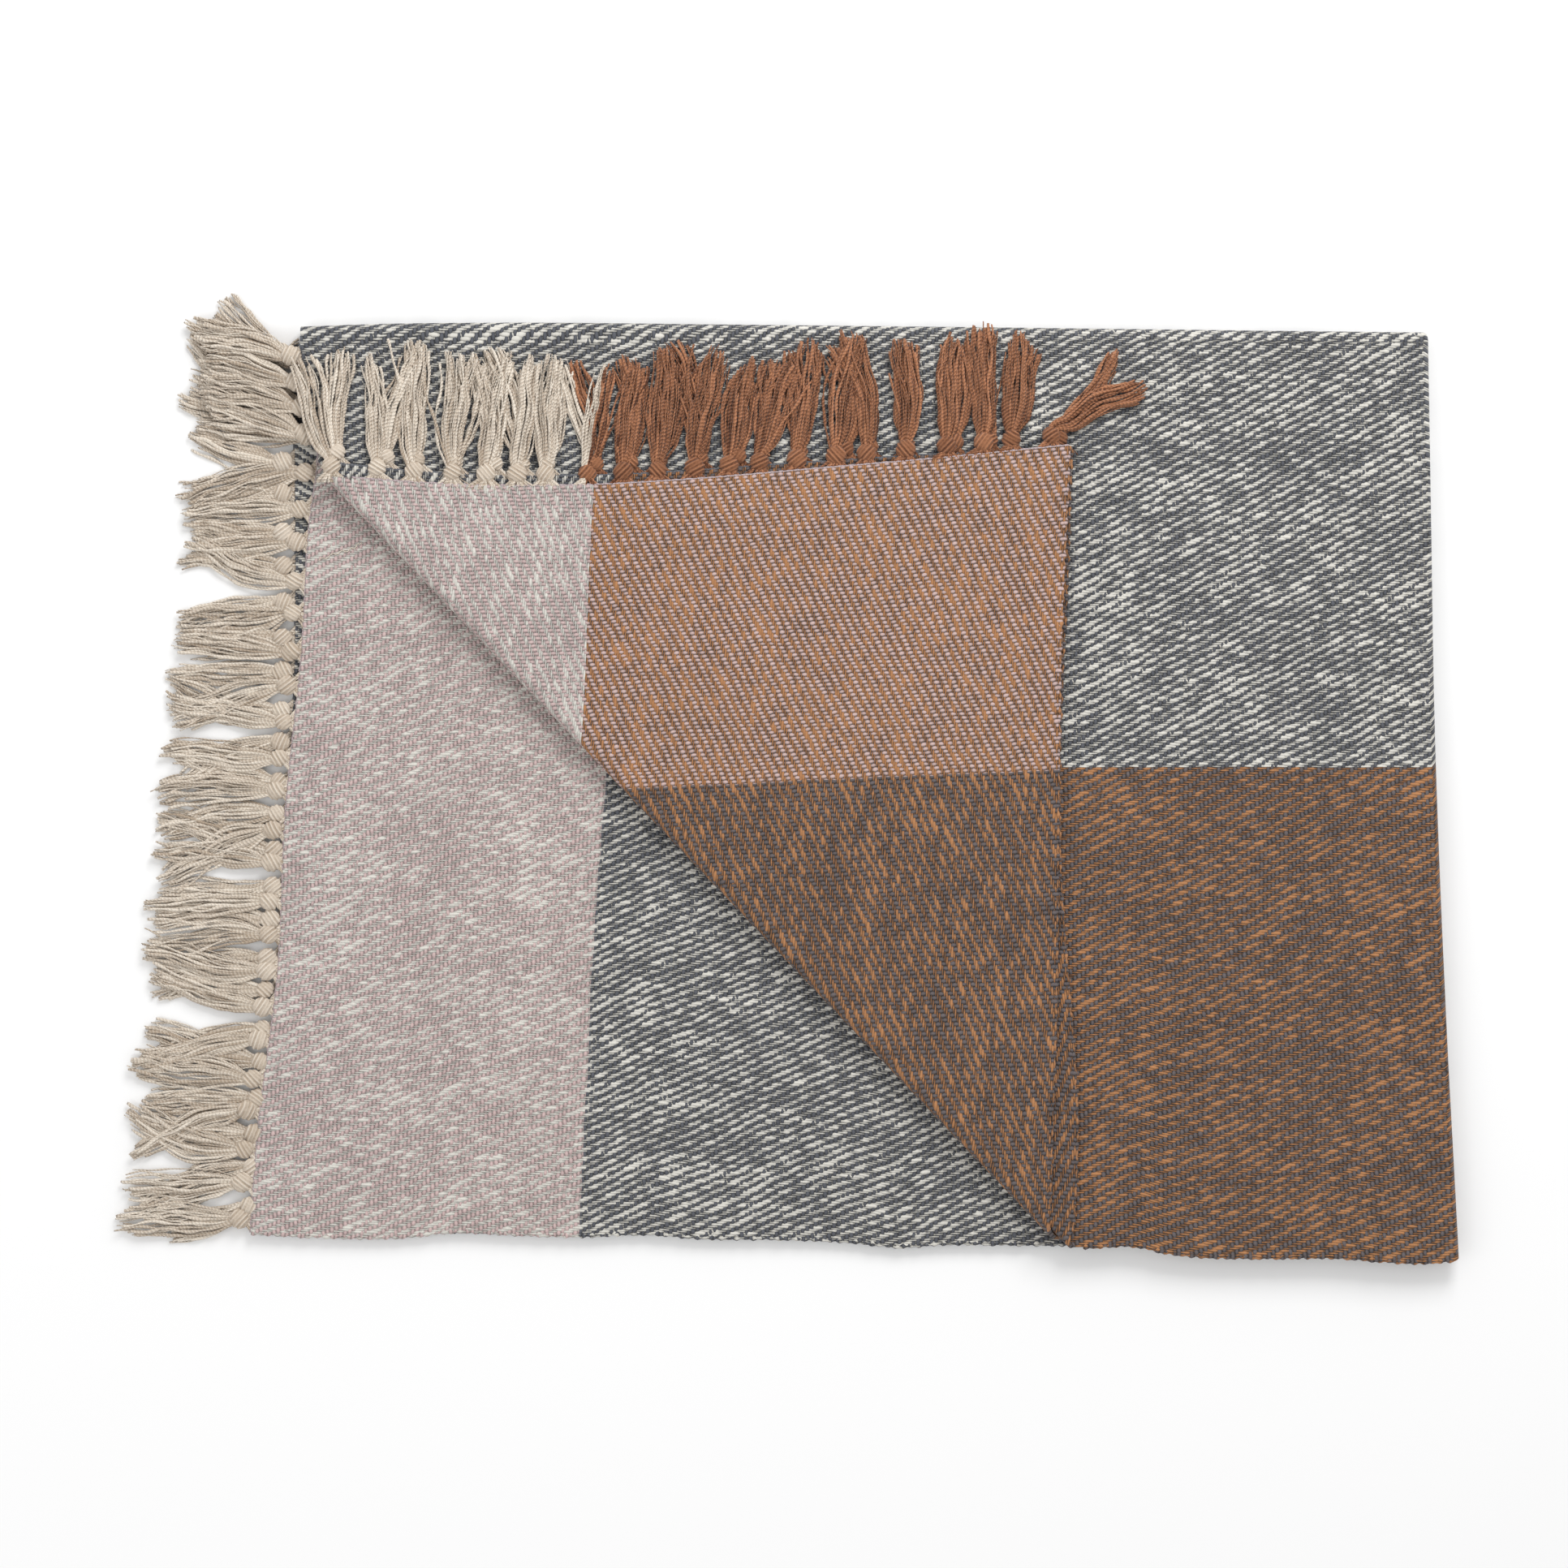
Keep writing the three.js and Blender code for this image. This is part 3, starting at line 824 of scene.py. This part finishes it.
# %% Tubes round lines of points
def tubes(lines, radius, sides, tone, flatness=1.0):
    """Tubes round many lines at once, as points, faces, texture coordinates and tones.

    lines holds strands by points by x, y and z, and radius strands by points. At each point a
    ring of the given number of sides stands square to the line, and each end is closed."""
    strands, steps = radius.shape
    tangent = np.gradient(lines, axis=1)
    tangent /= np.linalg.norm(tangent, axis=2, keepdims=True) + 1e-12
    side = np.cross(tangent, [0, 0, 1.0])
    side /= np.linalg.norm(side, axis=2, keepdims=True) + 1e-12
    up = np.cross(side, tangent)
    angle = np.linspace(0, 2 * math.pi, sides, endpoint=False)
    ring = side[:, :, None] * np.cos(angle)[:, None]
    ring = ring + up[:, :, None] * np.sin(angle)[:, None] * flatness
    points = lines[:, :, None] + ring * radius[:, :, None, None]
    index = np.arange(strands * steps * sides).reshape(strands, steps, sides)
    after = np.roll(index, -1, axis=2)
    walls = np.stack([index[:, :-1], index[:, 1:], after[:, 1:], after[:, :-1]], axis=-1)
    caps = [[k, k + 1, sides - 2 - k, sides - 1 - k] for k in range(sides // 2 - 1)]
    first = np.stack([index[:, 0][:, cap] for cap in caps], axis=1)
    last = np.stack([index[:, -1][:, cap[::-1]] for cap in caps], axis=1)
    quads = np.concatenate([walls.reshape(-1, 4), first.reshape(-1, 4), last.reshape(-1, 4)])
    length = np.linalg.norm(np.diff(lines, axis=1), axis=2).cumsum(axis=1)
    length = np.concatenate([np.zeros((strands, 1)), length], axis=1)
    along = np.broadcast_to(length[:, :, None], (strands, steps, sides))
    around = np.broadcast_to(angle / (2 * math.pi), (strands, steps, sides))
    uv = np.stack([along, around], axis=-1).reshape(-1, 2)
    tones = np.broadcast_to(tone, (strands, steps))[:, :, None] + np.zeros(sides)
    return points.reshape(-1, 3), quads, uv, tones.reshape(-1)


def joined(name, parts, material):
    """One mesh object from several sets of points, faces, texture coordinates and tones."""
    starts = np.cumsum([0] + [len(part[0]) for part in parts])
    quads = np.concatenate([part[1] + start for part, start in zip(parts, starts)])
    points, uv, tone = (np.concatenate([part[k] for part in parts]) for k in (0, 2, 3))
    pieces[name] = build_mesh(name, points, quads, uv, {"tone": tone})
    pieces[name].data.materials.append(material)
    print(name, "has", len(quads), "faces")


def line_length(points):
    """Distance along a line of points, from 0 at the first."""
    return np.concatenate([[0], np.linalg.norm(np.diff(points, axis=0), axis=1).cumsum()])


def points_at(points, at):
    """The values of a line of points at distances along it."""
    length = line_length(points[:, :3])
    return np.stack([np.interp(at, length, column) for column in points.T], axis=1)


# %% [markdown]
# ## Selvedges and headings
#
# At a selvedge the weft turns round the outermost warp yarns, which leaves a firm, knobbly cord
# along each long side. At the two ends the last weft picks lie bare in front of the tassels, as a
# mauve cord at one end and a charcoal cord at the other.

# %% Edges of the sheets as lines of points
FREE_ROWS = slice(ROWS - FREE_END_ROWS - 1, None)


def edge_of(sheet, rows, columns):
    """The points of a sheet's edge with their cloth coordinates."""
    x, y, z, u, v = (part[rows, columns] for part in grids[sheet])
    return np.stack([x, y, swelled(x, y, z), u, v], axis=1)


SIDE_LINES = {
    "lower": [edge_of("cloth_lower", 0, slice(None))],
    "upper": [edge_of("cloth_upper", 0, slice(None))],
    "flap": [edge_of("cloth_flap_outer", 0, slice(None)), edge_of("cloth_flap_inner", 0, slice(None))],
}
END_LINES = {
    "lower_inner": edge_of("cloth_lower", slice(None), 0),
    "lower_outer": edge_of("cloth_lower", slice(None), -1),
    "upper_outer": edge_of("cloth_upper", FREE_ROWS, 0),
    "upper_inner": edge_of("cloth_upper", FREE_ROWS, -1),
    "flap_outer": edge_of("cloth_flap_outer", slice(None), 0),
    "flap_inner": edge_of("cloth_flap_inner", slice(None), 0),
}

# %% Selvedge cords
CORD_RADIUS = 0.00165
CORD_STEP = 0.00145
CORD_BUMP = 2 * WEFT_PITCH


def selvedge(line):
    """A knobbly cord along a selvedge: its radius swells once every two wefts. Its texture
    coordinates are the cloth's own, wrapped round it."""
    at = np.arange(0, line_length(line[:, :3])[-1], CORD_STEP)
    fine = points_at(line, at)
    lump = np.sin(2 * math.pi * at / CORD_BUMP + 1.5 * np.sin(at * 41))
    radius = CORD_RADIUS * (1 + 0.26 * lump + 0.22 * np.sin(at * 530 + 3 * np.sin(at * 77)))
    points, quads, uv, tones = tubes(fine[None, :, :3], radius[None], 8, 0.5)
    wrapped = fine[:, None, 4] + np.linspace(0, 0.0060, 8)
    uv = np.stack([np.repeat(fine[:, 3], 8), wrapped.ravel()], axis=1)
    return points, quads, uv, tones


for where, lines in SIDE_LINES.items():
    joined(f"selvedge_{where}", [selvedge(line) for line in lines], cloth)

# %% Heading cords
HEADING_RADIUS = 0.00115
for where, line in END_LINES.items():
    first_end = where in ("lower_inner", "upper_inner", "flap_outer")
    at = np.arange(0, line_length(line[:, :3])[-1], CORD_STEP)
    fine = points_at(line, at)[:, :3]
    lump = HEADING_RADIUS * (1 + 0.2 * np.sin(at * 900 + 2 * np.sin(at * 130)))
    material = mauve_yarn if first_end else charcoal_yarn
    joined(f"heading_{where}", [tubes(fine[None], lump[None], 6, 0.6)], material)

# %% [markdown]
# ## Tassels
#
# Each tassel is a bunch of the warp's own ends. They fan in from about 20 mm of the edge, go through one
# overhand knot and spread again into a loose skirt that drops to whatever it lies on. Thick slub
# yarns and thin ones alternate, as in the cloth. A knot shows four or five turns of the bunch side
# by side, at a slant, so it is drawn as a ball with rounded ridges.

# %% Steps along a strand, and how the bunch opens out
STRANDS = 26
KNOT_AT = 0.0085
NEAR = np.array([-0.0030, 0.0, 0.0030, 0.0060, KNOT_AT, 0.0115, 0.0150])
SKIRT_STEPS = 21
SKIRT_START = 0.0190
KNOT_STEPS = 19
KNOT_SIDES = 12
KNOT_FLATNESS = 0.55
THICK_YARN, THIN_YARN = 0.00100, 0.00052
FAN = ([-0.003, 0.0, 0.005, KNOT_AT, 0.012, 0.026, 0.045, 0.075, 0.11],
       [0.0105, 0.0085, 0.0026, 0.0022, 0.0030, 0.0072, 0.0088, 0.0074, 0.0052])
print("a tassel is", round(2000 * max(FAN[1][4:]), 1), "mm across at its widest")


def strand_steps(rng, lengths):
    """Distances out from the edge of the points of every strand: close together near the knot,
    then even to the strand's own end. One strand in ten is cut short."""
    count = len(lengths)
    shares = np.linspace(-1, 1, STRANDS)
    reach = lengths[:, None] * rng.uniform(0.92, 1.03, (count, STRANDS)) * (1 - 0.07 * shares ** 2)
    reach = reach * rng.uniform(0.93, 1.04, (count, 1))
    reach = reach * np.where(rng.uniform(0, 1, (count, STRANDS)) < 0.10, 0.80, 1.0)
    skirt = np.linspace(SKIRT_START, 1.0, SKIRT_STEPS) ** 0.95
    out = np.concatenate([
        np.broadcast_to(NEAR, (count, STRANDS, len(NEAR))),
        NEAR[-1] + (reach - NEAR[-1])[:, :, None] * skirt,
    ], axis=2)
    return out, shares + rng.normal(0, 0.16, (count, STRANDS))


def strand_spread(rng, out, share, full):
    """How far each strand lies from the middle of its bunch: its share of the fan's half width,
    a small wave of its own, a slow sway of the whole bunch, a parting between two locks, and a few
    strays. Also gives how loose the strands are, from 0 at the knot to 1, and the waves' phases."""
    count = len(out)
    opened = eased((out - 0.012) / 0.030)
    width = np.interp(out, *FAN) * (1 + (full * rng.uniform(0.72, 1.18, (count, 1, 1)) - 1) * opened)
    across = share[:, :, None] * width
    loose = eased((out - 0.016) / 0.05)
    phase = rng.uniform(0, 2 * math.pi, (4, count, STRANDS, 1))
    wave = np.sin(out / rng.uniform(0.0045, 0.0080, (count, STRANDS, 1)) + phase[0])
    across = across + loose * wave * rng.uniform(0.0004, 0.0017, (count, STRANDS, 1))
    sway = np.sin(out / rng.uniform(0.014, 0.022, (count, 1, 1)) + rng.uniform(0, 6, (count, 1, 1)))
    across = across + loose * sway * rng.uniform(0.0004, 0.0034, (count, 1, 1))
    parting = np.tanh(3 * (share + rng.uniform(-0.5, 0.5, (count, 1))))[:, :, None]
    across = across + parting * rng.uniform(-0.0030, 0.0034, (count, 1, 1)) * loose * out / 0.08
    stray = rng.uniform(0, 1, (count, STRANDS, 1)) < 0.07
    stray = stray * rng.normal(0, 0.0070, (count, STRANDS, 1))
    return across + stray * loose * out / 0.08, loose, phase


def knots(rng, roots, way, side, middle, size):
    """Knots of a row: each is a tube along a slanting axis, whose radius is that of a flattened
    ball plus four ridges, the turns of the bunch round itself."""
    count = len(roots)
    ball = np.linspace(-0.97, 0.97, KNOT_STEPS)
    size = size * rng.uniform(0.0062, 0.0075, (count, 1))
    ridges = np.abs(np.cos(2.0 * math.pi * ball + rng.uniform(0, 3, (count, 1))))
    girth = size * np.sqrt(1 - ball ** 2) * (0.88 + 0.16 * ridges)
    slant = rng.choice([-1, 1], (count, 1)) * rng.uniform(0.35, 1.0, (count, 1))
    axis = way * np.cos(slant) + side * np.sin(slant)
    centre = np.concatenate([roots + way * KNOT_AT, np.full((count, 1), 0.0)], axis=1)
    centre[:, 2] = middle + rng.uniform(-0.0004, 0.0006, count)
    axis = np.concatenate([axis, rng.normal(0, 0.12, (count, 1))], axis=1)
    lines = centre[:, None] + axis[:, None] * (ball * size)[..., None]
    # Painted shade: the grooves between the turns are painted darker than the ridges, and the whole knot
    # darker than the loose strands.
    tone = 0.16 + 0.34 * ridges + rng.normal(0, 0.08, (count, 1))
    return tubes(lines, girth, KNOT_SIDES, tone, KNOT_FLATNESS)


# %% A row of tassels
def tassel_row(seed, roots, way, heights, lengths, leans, full=1.0, keep=slice(None), knot=1.0):
    """Strands and knots of a row of tassels.

    A strand starts in the cloth and runs along the way out of the edge. Beyond the knot the bunch
    turns by its lean and drops from the knot's height to the height it rests at, where its strands
    pile up. Heights are those of the edge, the knot, the rest and the pile. Full is how wide the
    bunch opens, keep picks some of its strands, and knot is the knot's size, or 0 for none."""
    rng = np.random.default_rng(seed)
    count = len(roots)
    side = np.stack([way[:, 1], -way[:, 0]], axis=1)
    out, share = strand_steps(rng, lengths)
    across, loose, phase = strand_spread(rng, out, share, full)
    leaning = eased((out - 0.006) / 0.018)
    turn = leans[:, None, None] * leaning
    turn = turn + rng.normal(0, 0.06, (count, 1, 1)) * leaning
    turn = turn + rng.normal(0, 0.13, (count, 1, 1)) * loose * out / 0.09
    past = out - KNOT_AT
    ahead = np.where(past > 0, KNOT_AT + past * np.cos(turn) - across * np.sin(turn), out)
    aside = np.where(past > 0, past * np.sin(turn) + across * np.cos(turn), across)
    edge, middle, rest, pile = heights
    lift = rng.uniform(0, 1, (count, STRANDS, 1)) * (1 - 0.6 * share[:, :, None] ** 2) * pile
    rising = mix(edge, middle, eased(out / KNOT_AT))
    height = np.where(past < 0, rising, mix(middle, rest + lift, eased(past / 0.036)))
    height = height + loose * 0.0004 * np.sin(out / 0.0035 + phase[1])
    place = roots[:, None, None, :] + ahead[..., None] * way[:, None, None, :]
    place = place + aside[..., None] * side[:, None, None, :]
    lines = np.concatenate([place, height[..., None]], axis=3)[:, keep]
    thick = np.where(np.arange(STRANDS) % 2 == 0, THICK_YARN, THIN_YARN)[None, :, None]
    slub = 1 + 0.22 * np.sin(out / 0.0021 + phase[2]) + 0.26 * np.sin(out / 0.0047 + phase[3])
    taper = np.where(np.arange(out.shape[2]) == out.shape[2] - 1, 0.8, 1.0)
    radius = (thick * slub * taper)[:, keep]
    # Each strand gets a random tone, with painted shade where the strands lie packed together, from the
    # edge through the knot, fading out along the skirt.
    tone = rng.normal(0.62, 0.24, (count, STRANDS, 1)) - 0.14 * (1 - loose)
    tone = np.broadcast_to(tone, out.shape)[:, keep]
    flat = (-1, lines.shape[2])
    parts = [tubes(lines.reshape(*flat, 3), radius.reshape(flat), 4, tone.reshape(flat))]
    if knot:
        parts.append(knots(rng, roots, way, side, middle, knot))
    return parts


def roots_along(line, count, spread=0.0, first=0.5):
    """Evenly spaced places along a fringed end, the first at a share of a step from its start."""
    whole = line_length(line[:, :3])[-1]
    at = (np.arange(count) + first) / count * whole
    at = at + spread * np.sin(np.arange(count) * 2.7)
    return points_at(line, at)[:, :2]


# %% Tassels of the lower layers
LEFT = np.array([-1.0, 0.0])
order = np.arange(25)
lengths = np.interp(order, [0, 4, 10, 16, 20, 24], [0.098, 0.095, 0.098, 0.092, 0.088, 0.090])
leans = 0.12 * (-1.0) ** order + 0.08 * np.sin(order * 2.1)
leans[0] = -0.14
leans[22:] = [0.10, 0.22, 0.42]
roots = roots_along(END_LINES["lower_inner"], 25, 0.0015, 0.38)
heights = (0.0060, 0.0062, 0.0030, 0.0036)
row = tassel_row(11, roots, np.tile(LEFT, (25, 1)), heights, lengths, leans, 1.12)
joined("tassels_lower_inner", row, cream_yarn)
leans = 0.11 * (-1.0) ** order + 0.09 * np.cos(order * 1.7) - 0.03
leans[0] = -0.42
leans[21:] = [0.10, 0.2, 0.34, 0.62]
lengths = lengths - 0.006
lengths[[0, 24]] = [0.078, 0.064]
roots = roots_along(END_LINES["lower_outer"][::-1], 25, 0.0015, 0.26)[::-1]
heights = (0.0020, 0.0048, 0.0012, 0.0030)
row = tassel_row(12, roots, np.tile(LEFT, (25, 1)), heights, lengths, leans, 1.12)
joined("tassels_lower_outer", row, cream_yarn)

# %% Tassels of the upper layers beside the corner
four = np.tile(LEFT, (4, 1))
near = tassel_row(21, roots_along(END_LINES["upper_outer"], 4), four, (0.0144, 0.0140, 0.0085, 0.0040),
                  np.array([0.080, 0.083, 0.080, 0.078]), np.array([0.30, 0.28, 0.26, 0.28]), 1.1)
far = tassel_row(22, roots_along(END_LINES["upper_inner"], 4), four, (0.0102, 0.0100, 0.0065, 0.0030),
                 np.array([0.078, 0.080, 0.080, 0.080]), np.array([0.24, 0.22, 0.24, 0.26]), 1.1)
joined("tassels_upper", near + far, cream_yarn)

# %% Tassels of the turned-back corner
FRONT_X = np.array([
    -318.0, -285.9, -260.1, -233.2, -209.7, -187.9, -167.9, -138.7, -113.5, -89.4, -63.6, -39.5, -18.3,
    8.0, 35.5, 56.7, 84.2, 112.9, 138.7, 158.1, 186.0,
]) / 1000
FRONT_LEANS = np.array([
    -0.33, 0.00, 0.06, -0.02, 0.10, 0.04, 0.07, 0.22, 0.14, 0.02, 0.05, 0.14, 0.36,
    0.10, 0.04, 0.00, 0.10, 0.06, 0.02, 0.16, 1.00,
])
FRONT_LENGTHS = np.array([
    92, 94, 96, 90, 94, 96, 90, 90, 90, 92, 96, 84, 82, 90, 92, 94, 88, 90, 92, 86, 88,
]) / 1000
MIXED = 7
CREAM_SHARE = slice(0, 12)
RUST_SHARE = slice(12, None)


def on_edge(line, x):
    """Places on a fringed end that runs across, at given x."""
    order = np.argsort(line[:, 0])
    return np.stack([x, np.interp(x, line[order, 0], line[order, 1])], axis=1)


def flap_tassels(side, seed, x, leans, lengths, heights, knot=1.0):
    """Both colours of one row of tassels on the turned-back corner. The one at the colour border
    holds some yarns of each."""
    roots = on_edge(END_LINES[f"flap_{side}"], x)
    way = np.tile([0.0, 1.0], (len(x), 1))
    cream, border, rust = slice(0, MIXED), slice(MIXED, MIXED + 1), slice(MIXED + 1, None)

    def row(step, part, **more):
        """The tassels of one part of the row."""
        return tassel_row(seed + step, roots[part], way[part], heights, lengths[part], leans[part],
                          **more)

    cream_parts = row(0, cream, knot=knot) + row(1, border, keep=CREAM_SHARE, knot=0)
    rust_parts = row(2, rust, knot=knot) + row(1, border, keep=RUST_SHARE, knot=knot)
    joined(f"tassels_flap_{side}_cream", cream_parts, cream_yarn)
    joined(f"tassels_flap_{side}_rust", rust_parts, rust_yarn)


flap_tassels("outer", 31, FRONT_X, FRONT_LEANS, FRONT_LENGTHS, (0.0228, 0.0208, 0.0190, 0.0040))
BEHIND_X = FRONT_X + 0.0040 + 0.003 * np.sin(np.arange(21) * 1.9)
BEHIND_X[-1] = 0.192
BEHIND_LEANS = 0.20 * np.sin(np.arange(21) * 2.3 + 0.6) + 0.04
BEHIND_LEANS[[0, -2, -1]] = [-0.10, 0.30, 0.62]
flap_tassels("inner", 41, BEHIND_X, BEHIND_LEANS, 0.93 * FRONT_LENGTHS,
             (0.0186, 0.0188, 0.0172, 0.0035), 0.8)

# %% [markdown]
# ## Loose threads
#
# A few yarn ends have worked out of the tassels and lie free beside them.

# %% Loose threads, as points in mm
THREAD_RADIUS = 0.00042
THREAD_STEPS = 28
LOOSE = {
    "loose_thread_1": [(-431, 116, 2), (-410, 122, 2.6), (-385, 125, 3), (-365, 119, 5),
                       (-352, 113, 8)],
    "loose_thread_2": [(-428, 121, 2), (-405, 126, 3), (-383, 128, 3), (-372, 131, 2.6),
                       (-362, 137, 2)],
    "loose_thread_3": [(-328, 172, 8.0), (-316, 177, 8.1), (-305, 180, 8.1), (-298, 185, 8.0)],
}
for name, knots in LOOSE.items():
    knots = np.array(knots) / 1000
    at = np.linspace(0, 1, THREAD_STEPS)
    place = np.linspace(0, 1, len(knots))
    line = np.stack([through(zip(place, column))(at) for column in knots.T], axis=1)
    line[:, 1] += 0.0009 * np.sin(at * 31)
    radius = np.full((1, THREAD_STEPS), THREAD_RADIUS)
    joined(name, [tubes(line[None], radius, 5, 0.7)], cream_yarn)

# %% [markdown]
# ## Joining the pieces to the model
#
# Flat sheets ride on one body each. The outer strip of the slanting fold would stand up as a roll
# when the corner lies open; it rides on the upper half. The other turning strips keep their places
# and ride on no body.

# %% Bodies that the pieces ride on
BODY = {"lower": "lower_half", "upper": "upper_half", "flap": "corner_flap", "loose": "lower_half"}
for name, piece in pieces.items():
    where = next((key for key in BODY if key in name), None)
    if not name.startswith("turn"):
        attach(piece, BODY[where])

# %% Strips baked in place
INSIDE = 0.12


def bend(name, low, high):
    """Bakes a strip's place into its mesh. The heights a little inside two layers are worked out but not
    used.
    """
    start, end = mix(HEIGHT[low], HEIGHT[high], INSIDE), mix(HEIGHT[low], HEIGHT[high], 1 - INSIDE)
    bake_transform(pieces[name])


bend("turn_top_outer", "lower_outer", "upper_outer")
bend("turn_top_inner", "lower_inner", "upper_inner")
BETWEEN_LAYERS = mix(HEIGHT["upper_inner"], HEIGHT["upper_outer"], 0.45)
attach(pieces["turn_corner_outer"], "upper_half")
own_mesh(pieces["turn_corner_outer"])
bend("turn_corner_inner", "upper_outer", "flap_inner")

# %% Flat parts of the model that each piece stands for
REPLACES = {
    "cloth_lower": ["lower_outer_layer", "lower_inner_layer", "end_fold_lower"],
    "cloth_upper": ["upper_outer_layer", "upper_inner_layer", "end_fold_upper"],
    "cloth_flap_outer": ["flap_outer_layer"],
    "cloth_flap_inner": ["flap_inner_layer"],
    "turn_top_outer": ["top_fold_outer"],
    "turn_top_inner": ["top_fold_inner"],
    "turn_corner_outer": ["corner_fold_outer"],
    "turn_corner_inner": ["corner_fold_inner"],
    "tassels_lower_inner": [f"fringe_lower_inner_{k}" for k in range(1, 6)],
    "tassels_lower_outer": [f"fringe_lower_outer_{k}" for k in range(1, 6)],
    "tassels_upper": ["fringe_upper_inner_1", "fringe_upper_outer_1"],
    "tassels_flap_outer_cream": ["fringe_flap_outer_1", "fringe_flap_outer_2"],
    "tassels_flap_inner_cream": ["fringe_flap_inner_1", "fringe_flap_inner_2"],
    "tassels_flap_outer_rust": [f"fringe_flap_outer_{k}" for k in (3, 4, 5)],
    "tassels_flap_inner_rust": [f"fringe_flap_inner_{k}" for k in (3, 4, 5)],
}
for name, nodes in REPLACES.items():
    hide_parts(*nodes)

# %% [markdown]
# ## Sheets of cloth
#
# The throw is one cloth, 1.30 m wide and 1.60 m long without its fringe. Each part of it here is
# listed with the flat size it has in that cloth, and that size is printed. The corner that is turned
# back is a triangle at each end of the throw, and the upper layers lack those two triangles.

CORNER = (0.52, 0.54)
CORNER_FOLD_LENGTH = 0.747
WIDE_STRIP = math.pi * WIDE_TURN + 2 * MARGIN
TIGHT_STRIP = math.pi * TIGHT_TURN + 2 * MARGIN
UPPER_AREA = HALF_WIDTH * LENGTH - CORNER[0] * CORNER[1]
SHEETS = {
    "cloth_lower": ((HALF_WIDTH, LENGTH), None, []),
    "cloth_upper": ((HALF_WIDTH, LENGTH), UPPER_AREA, ["cloth_lower"]),
    "cloth_flap_inner": (CORNER, CORNER[0] * CORNER[1] / 2, ["cloth_upper"]),
    "cloth_flap_outer": (CORNER, CORNER[0] * CORNER[1] / 2, ["cloth_flap_inner"]),
    "turn_top_outer": ((WIDE_STRIP, HALF_LENGTH), None, ["cloth_lower"]),
    "turn_top_inner": ((TIGHT_STRIP, HALF_LENGTH), None, ["cloth_lower"]),
    "turn_corner_outer": ((WIDE_STRIP, CORNER_FOLD_LENGTH), None, ["cloth_upper"]),
    "turn_corner_inner": ((TIGHT_STRIP, CORNER_FOLD_LENGTH), None, ["cloth_upper"]),
}
ON_SHEET = {
    "cloth_lower": ["selvedge_lower", "heading_lower_inner", "heading_lower_outer",
                    "tassels_lower_inner", "tassels_lower_outer",
                    "loose_thread_1", "loose_thread_2", "loose_thread_3"],
    "cloth_upper": ["selvedge_upper", "heading_upper_inner", "heading_upper_outer", "tassels_upper"],
    "cloth_flap_inner": ["heading_flap_inner", "tassels_flap_inner_cream", "tassels_flap_inner_rust"],
    "cloth_flap_outer": ["selvedge_flap", "heading_flap_outer", "tassels_flap_outer_cream",
                         "tassels_flap_outer_rust"],
}
for name, (flat, area, under) in SHEETS.items():
    [pieces[other] for other in ON_SHEET.get(name, [])]
    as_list(under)
    print(name, "flat size in mm:", [round(1000 * side) for side in flat])

# %% [markdown]
# ## Floor, light and camera

# %% Floor
floor_mesh = bpy.data.meshes.new("floor")
FLOOR = 6.0
floor_corners = [(-FLOOR, -FLOOR, 0), (FLOOR, -FLOOR, 0), (FLOOR, FLOOR, 0), (-FLOOR, FLOOR, 0)]
floor_mesh.from_pydata(floor_corners, [], [(0, 1, 2, 3)])
floor = bpy.data.objects.new("floor", floor_mesh)
bpy.context.scene.collection.objects.link(floor)
floor_material, tree, calc = new_material("pale_floor")
shader = add(tree, "ShaderNodeBsdfPrincipled", {"Base Color": (0.93, 0.93, 0.93, 1), "Roughness": 0.9})
add(tree, "ShaderNodeOutputMaterial", {"Surface": shader})
floor.data.materials.append(floor_material)

# %% Light
world = bpy.data.worlds.new("studio")
bpy.context.scene.world = world
world.use_nodes = True
world.node_tree.nodes["Background"].inputs[0].default_value = (1, 1, 1, 1)
world.node_tree.nodes["Background"].inputs[1].default_value = 0.72


def softbox(name, place, aim, size, power):
    """A square area light at a place, pointed at another."""
    data = bpy.data.lights.new(name, "AREA")
    data.shape = "SQUARE"
    data.size = size
    data.energy = power
    light = bpy.data.objects.new(name, data)
    bpy.context.scene.collection.objects.link(light)
    way = Vector(aim) - Vector(place)
    light.location = place
    light.rotation_euler = way.to_track_quat("-Z", "Y").to_euler()
    return light


CENTRE = (0, 0, 0)
softbox("key", (0.7, 2.0, 1.7), CENTRE, 1.2, 42)
softbox("fill", (-2.0, -0.8, 2.0), CENTRE, 1.6, 12)

# %% Camera
camera_data = bpy.data.cameras.new("overhead")
camera_data.lens = 100
camera = bpy.data.objects.new("overhead", camera_data)
camera.location = (-0.001, 0.0149, 3.07)
bpy.context.scene.collection.objects.link(camera)
bpy.context.scene.camera = camera
bpy.context.scene.view_settings.view_transform = "Standard"
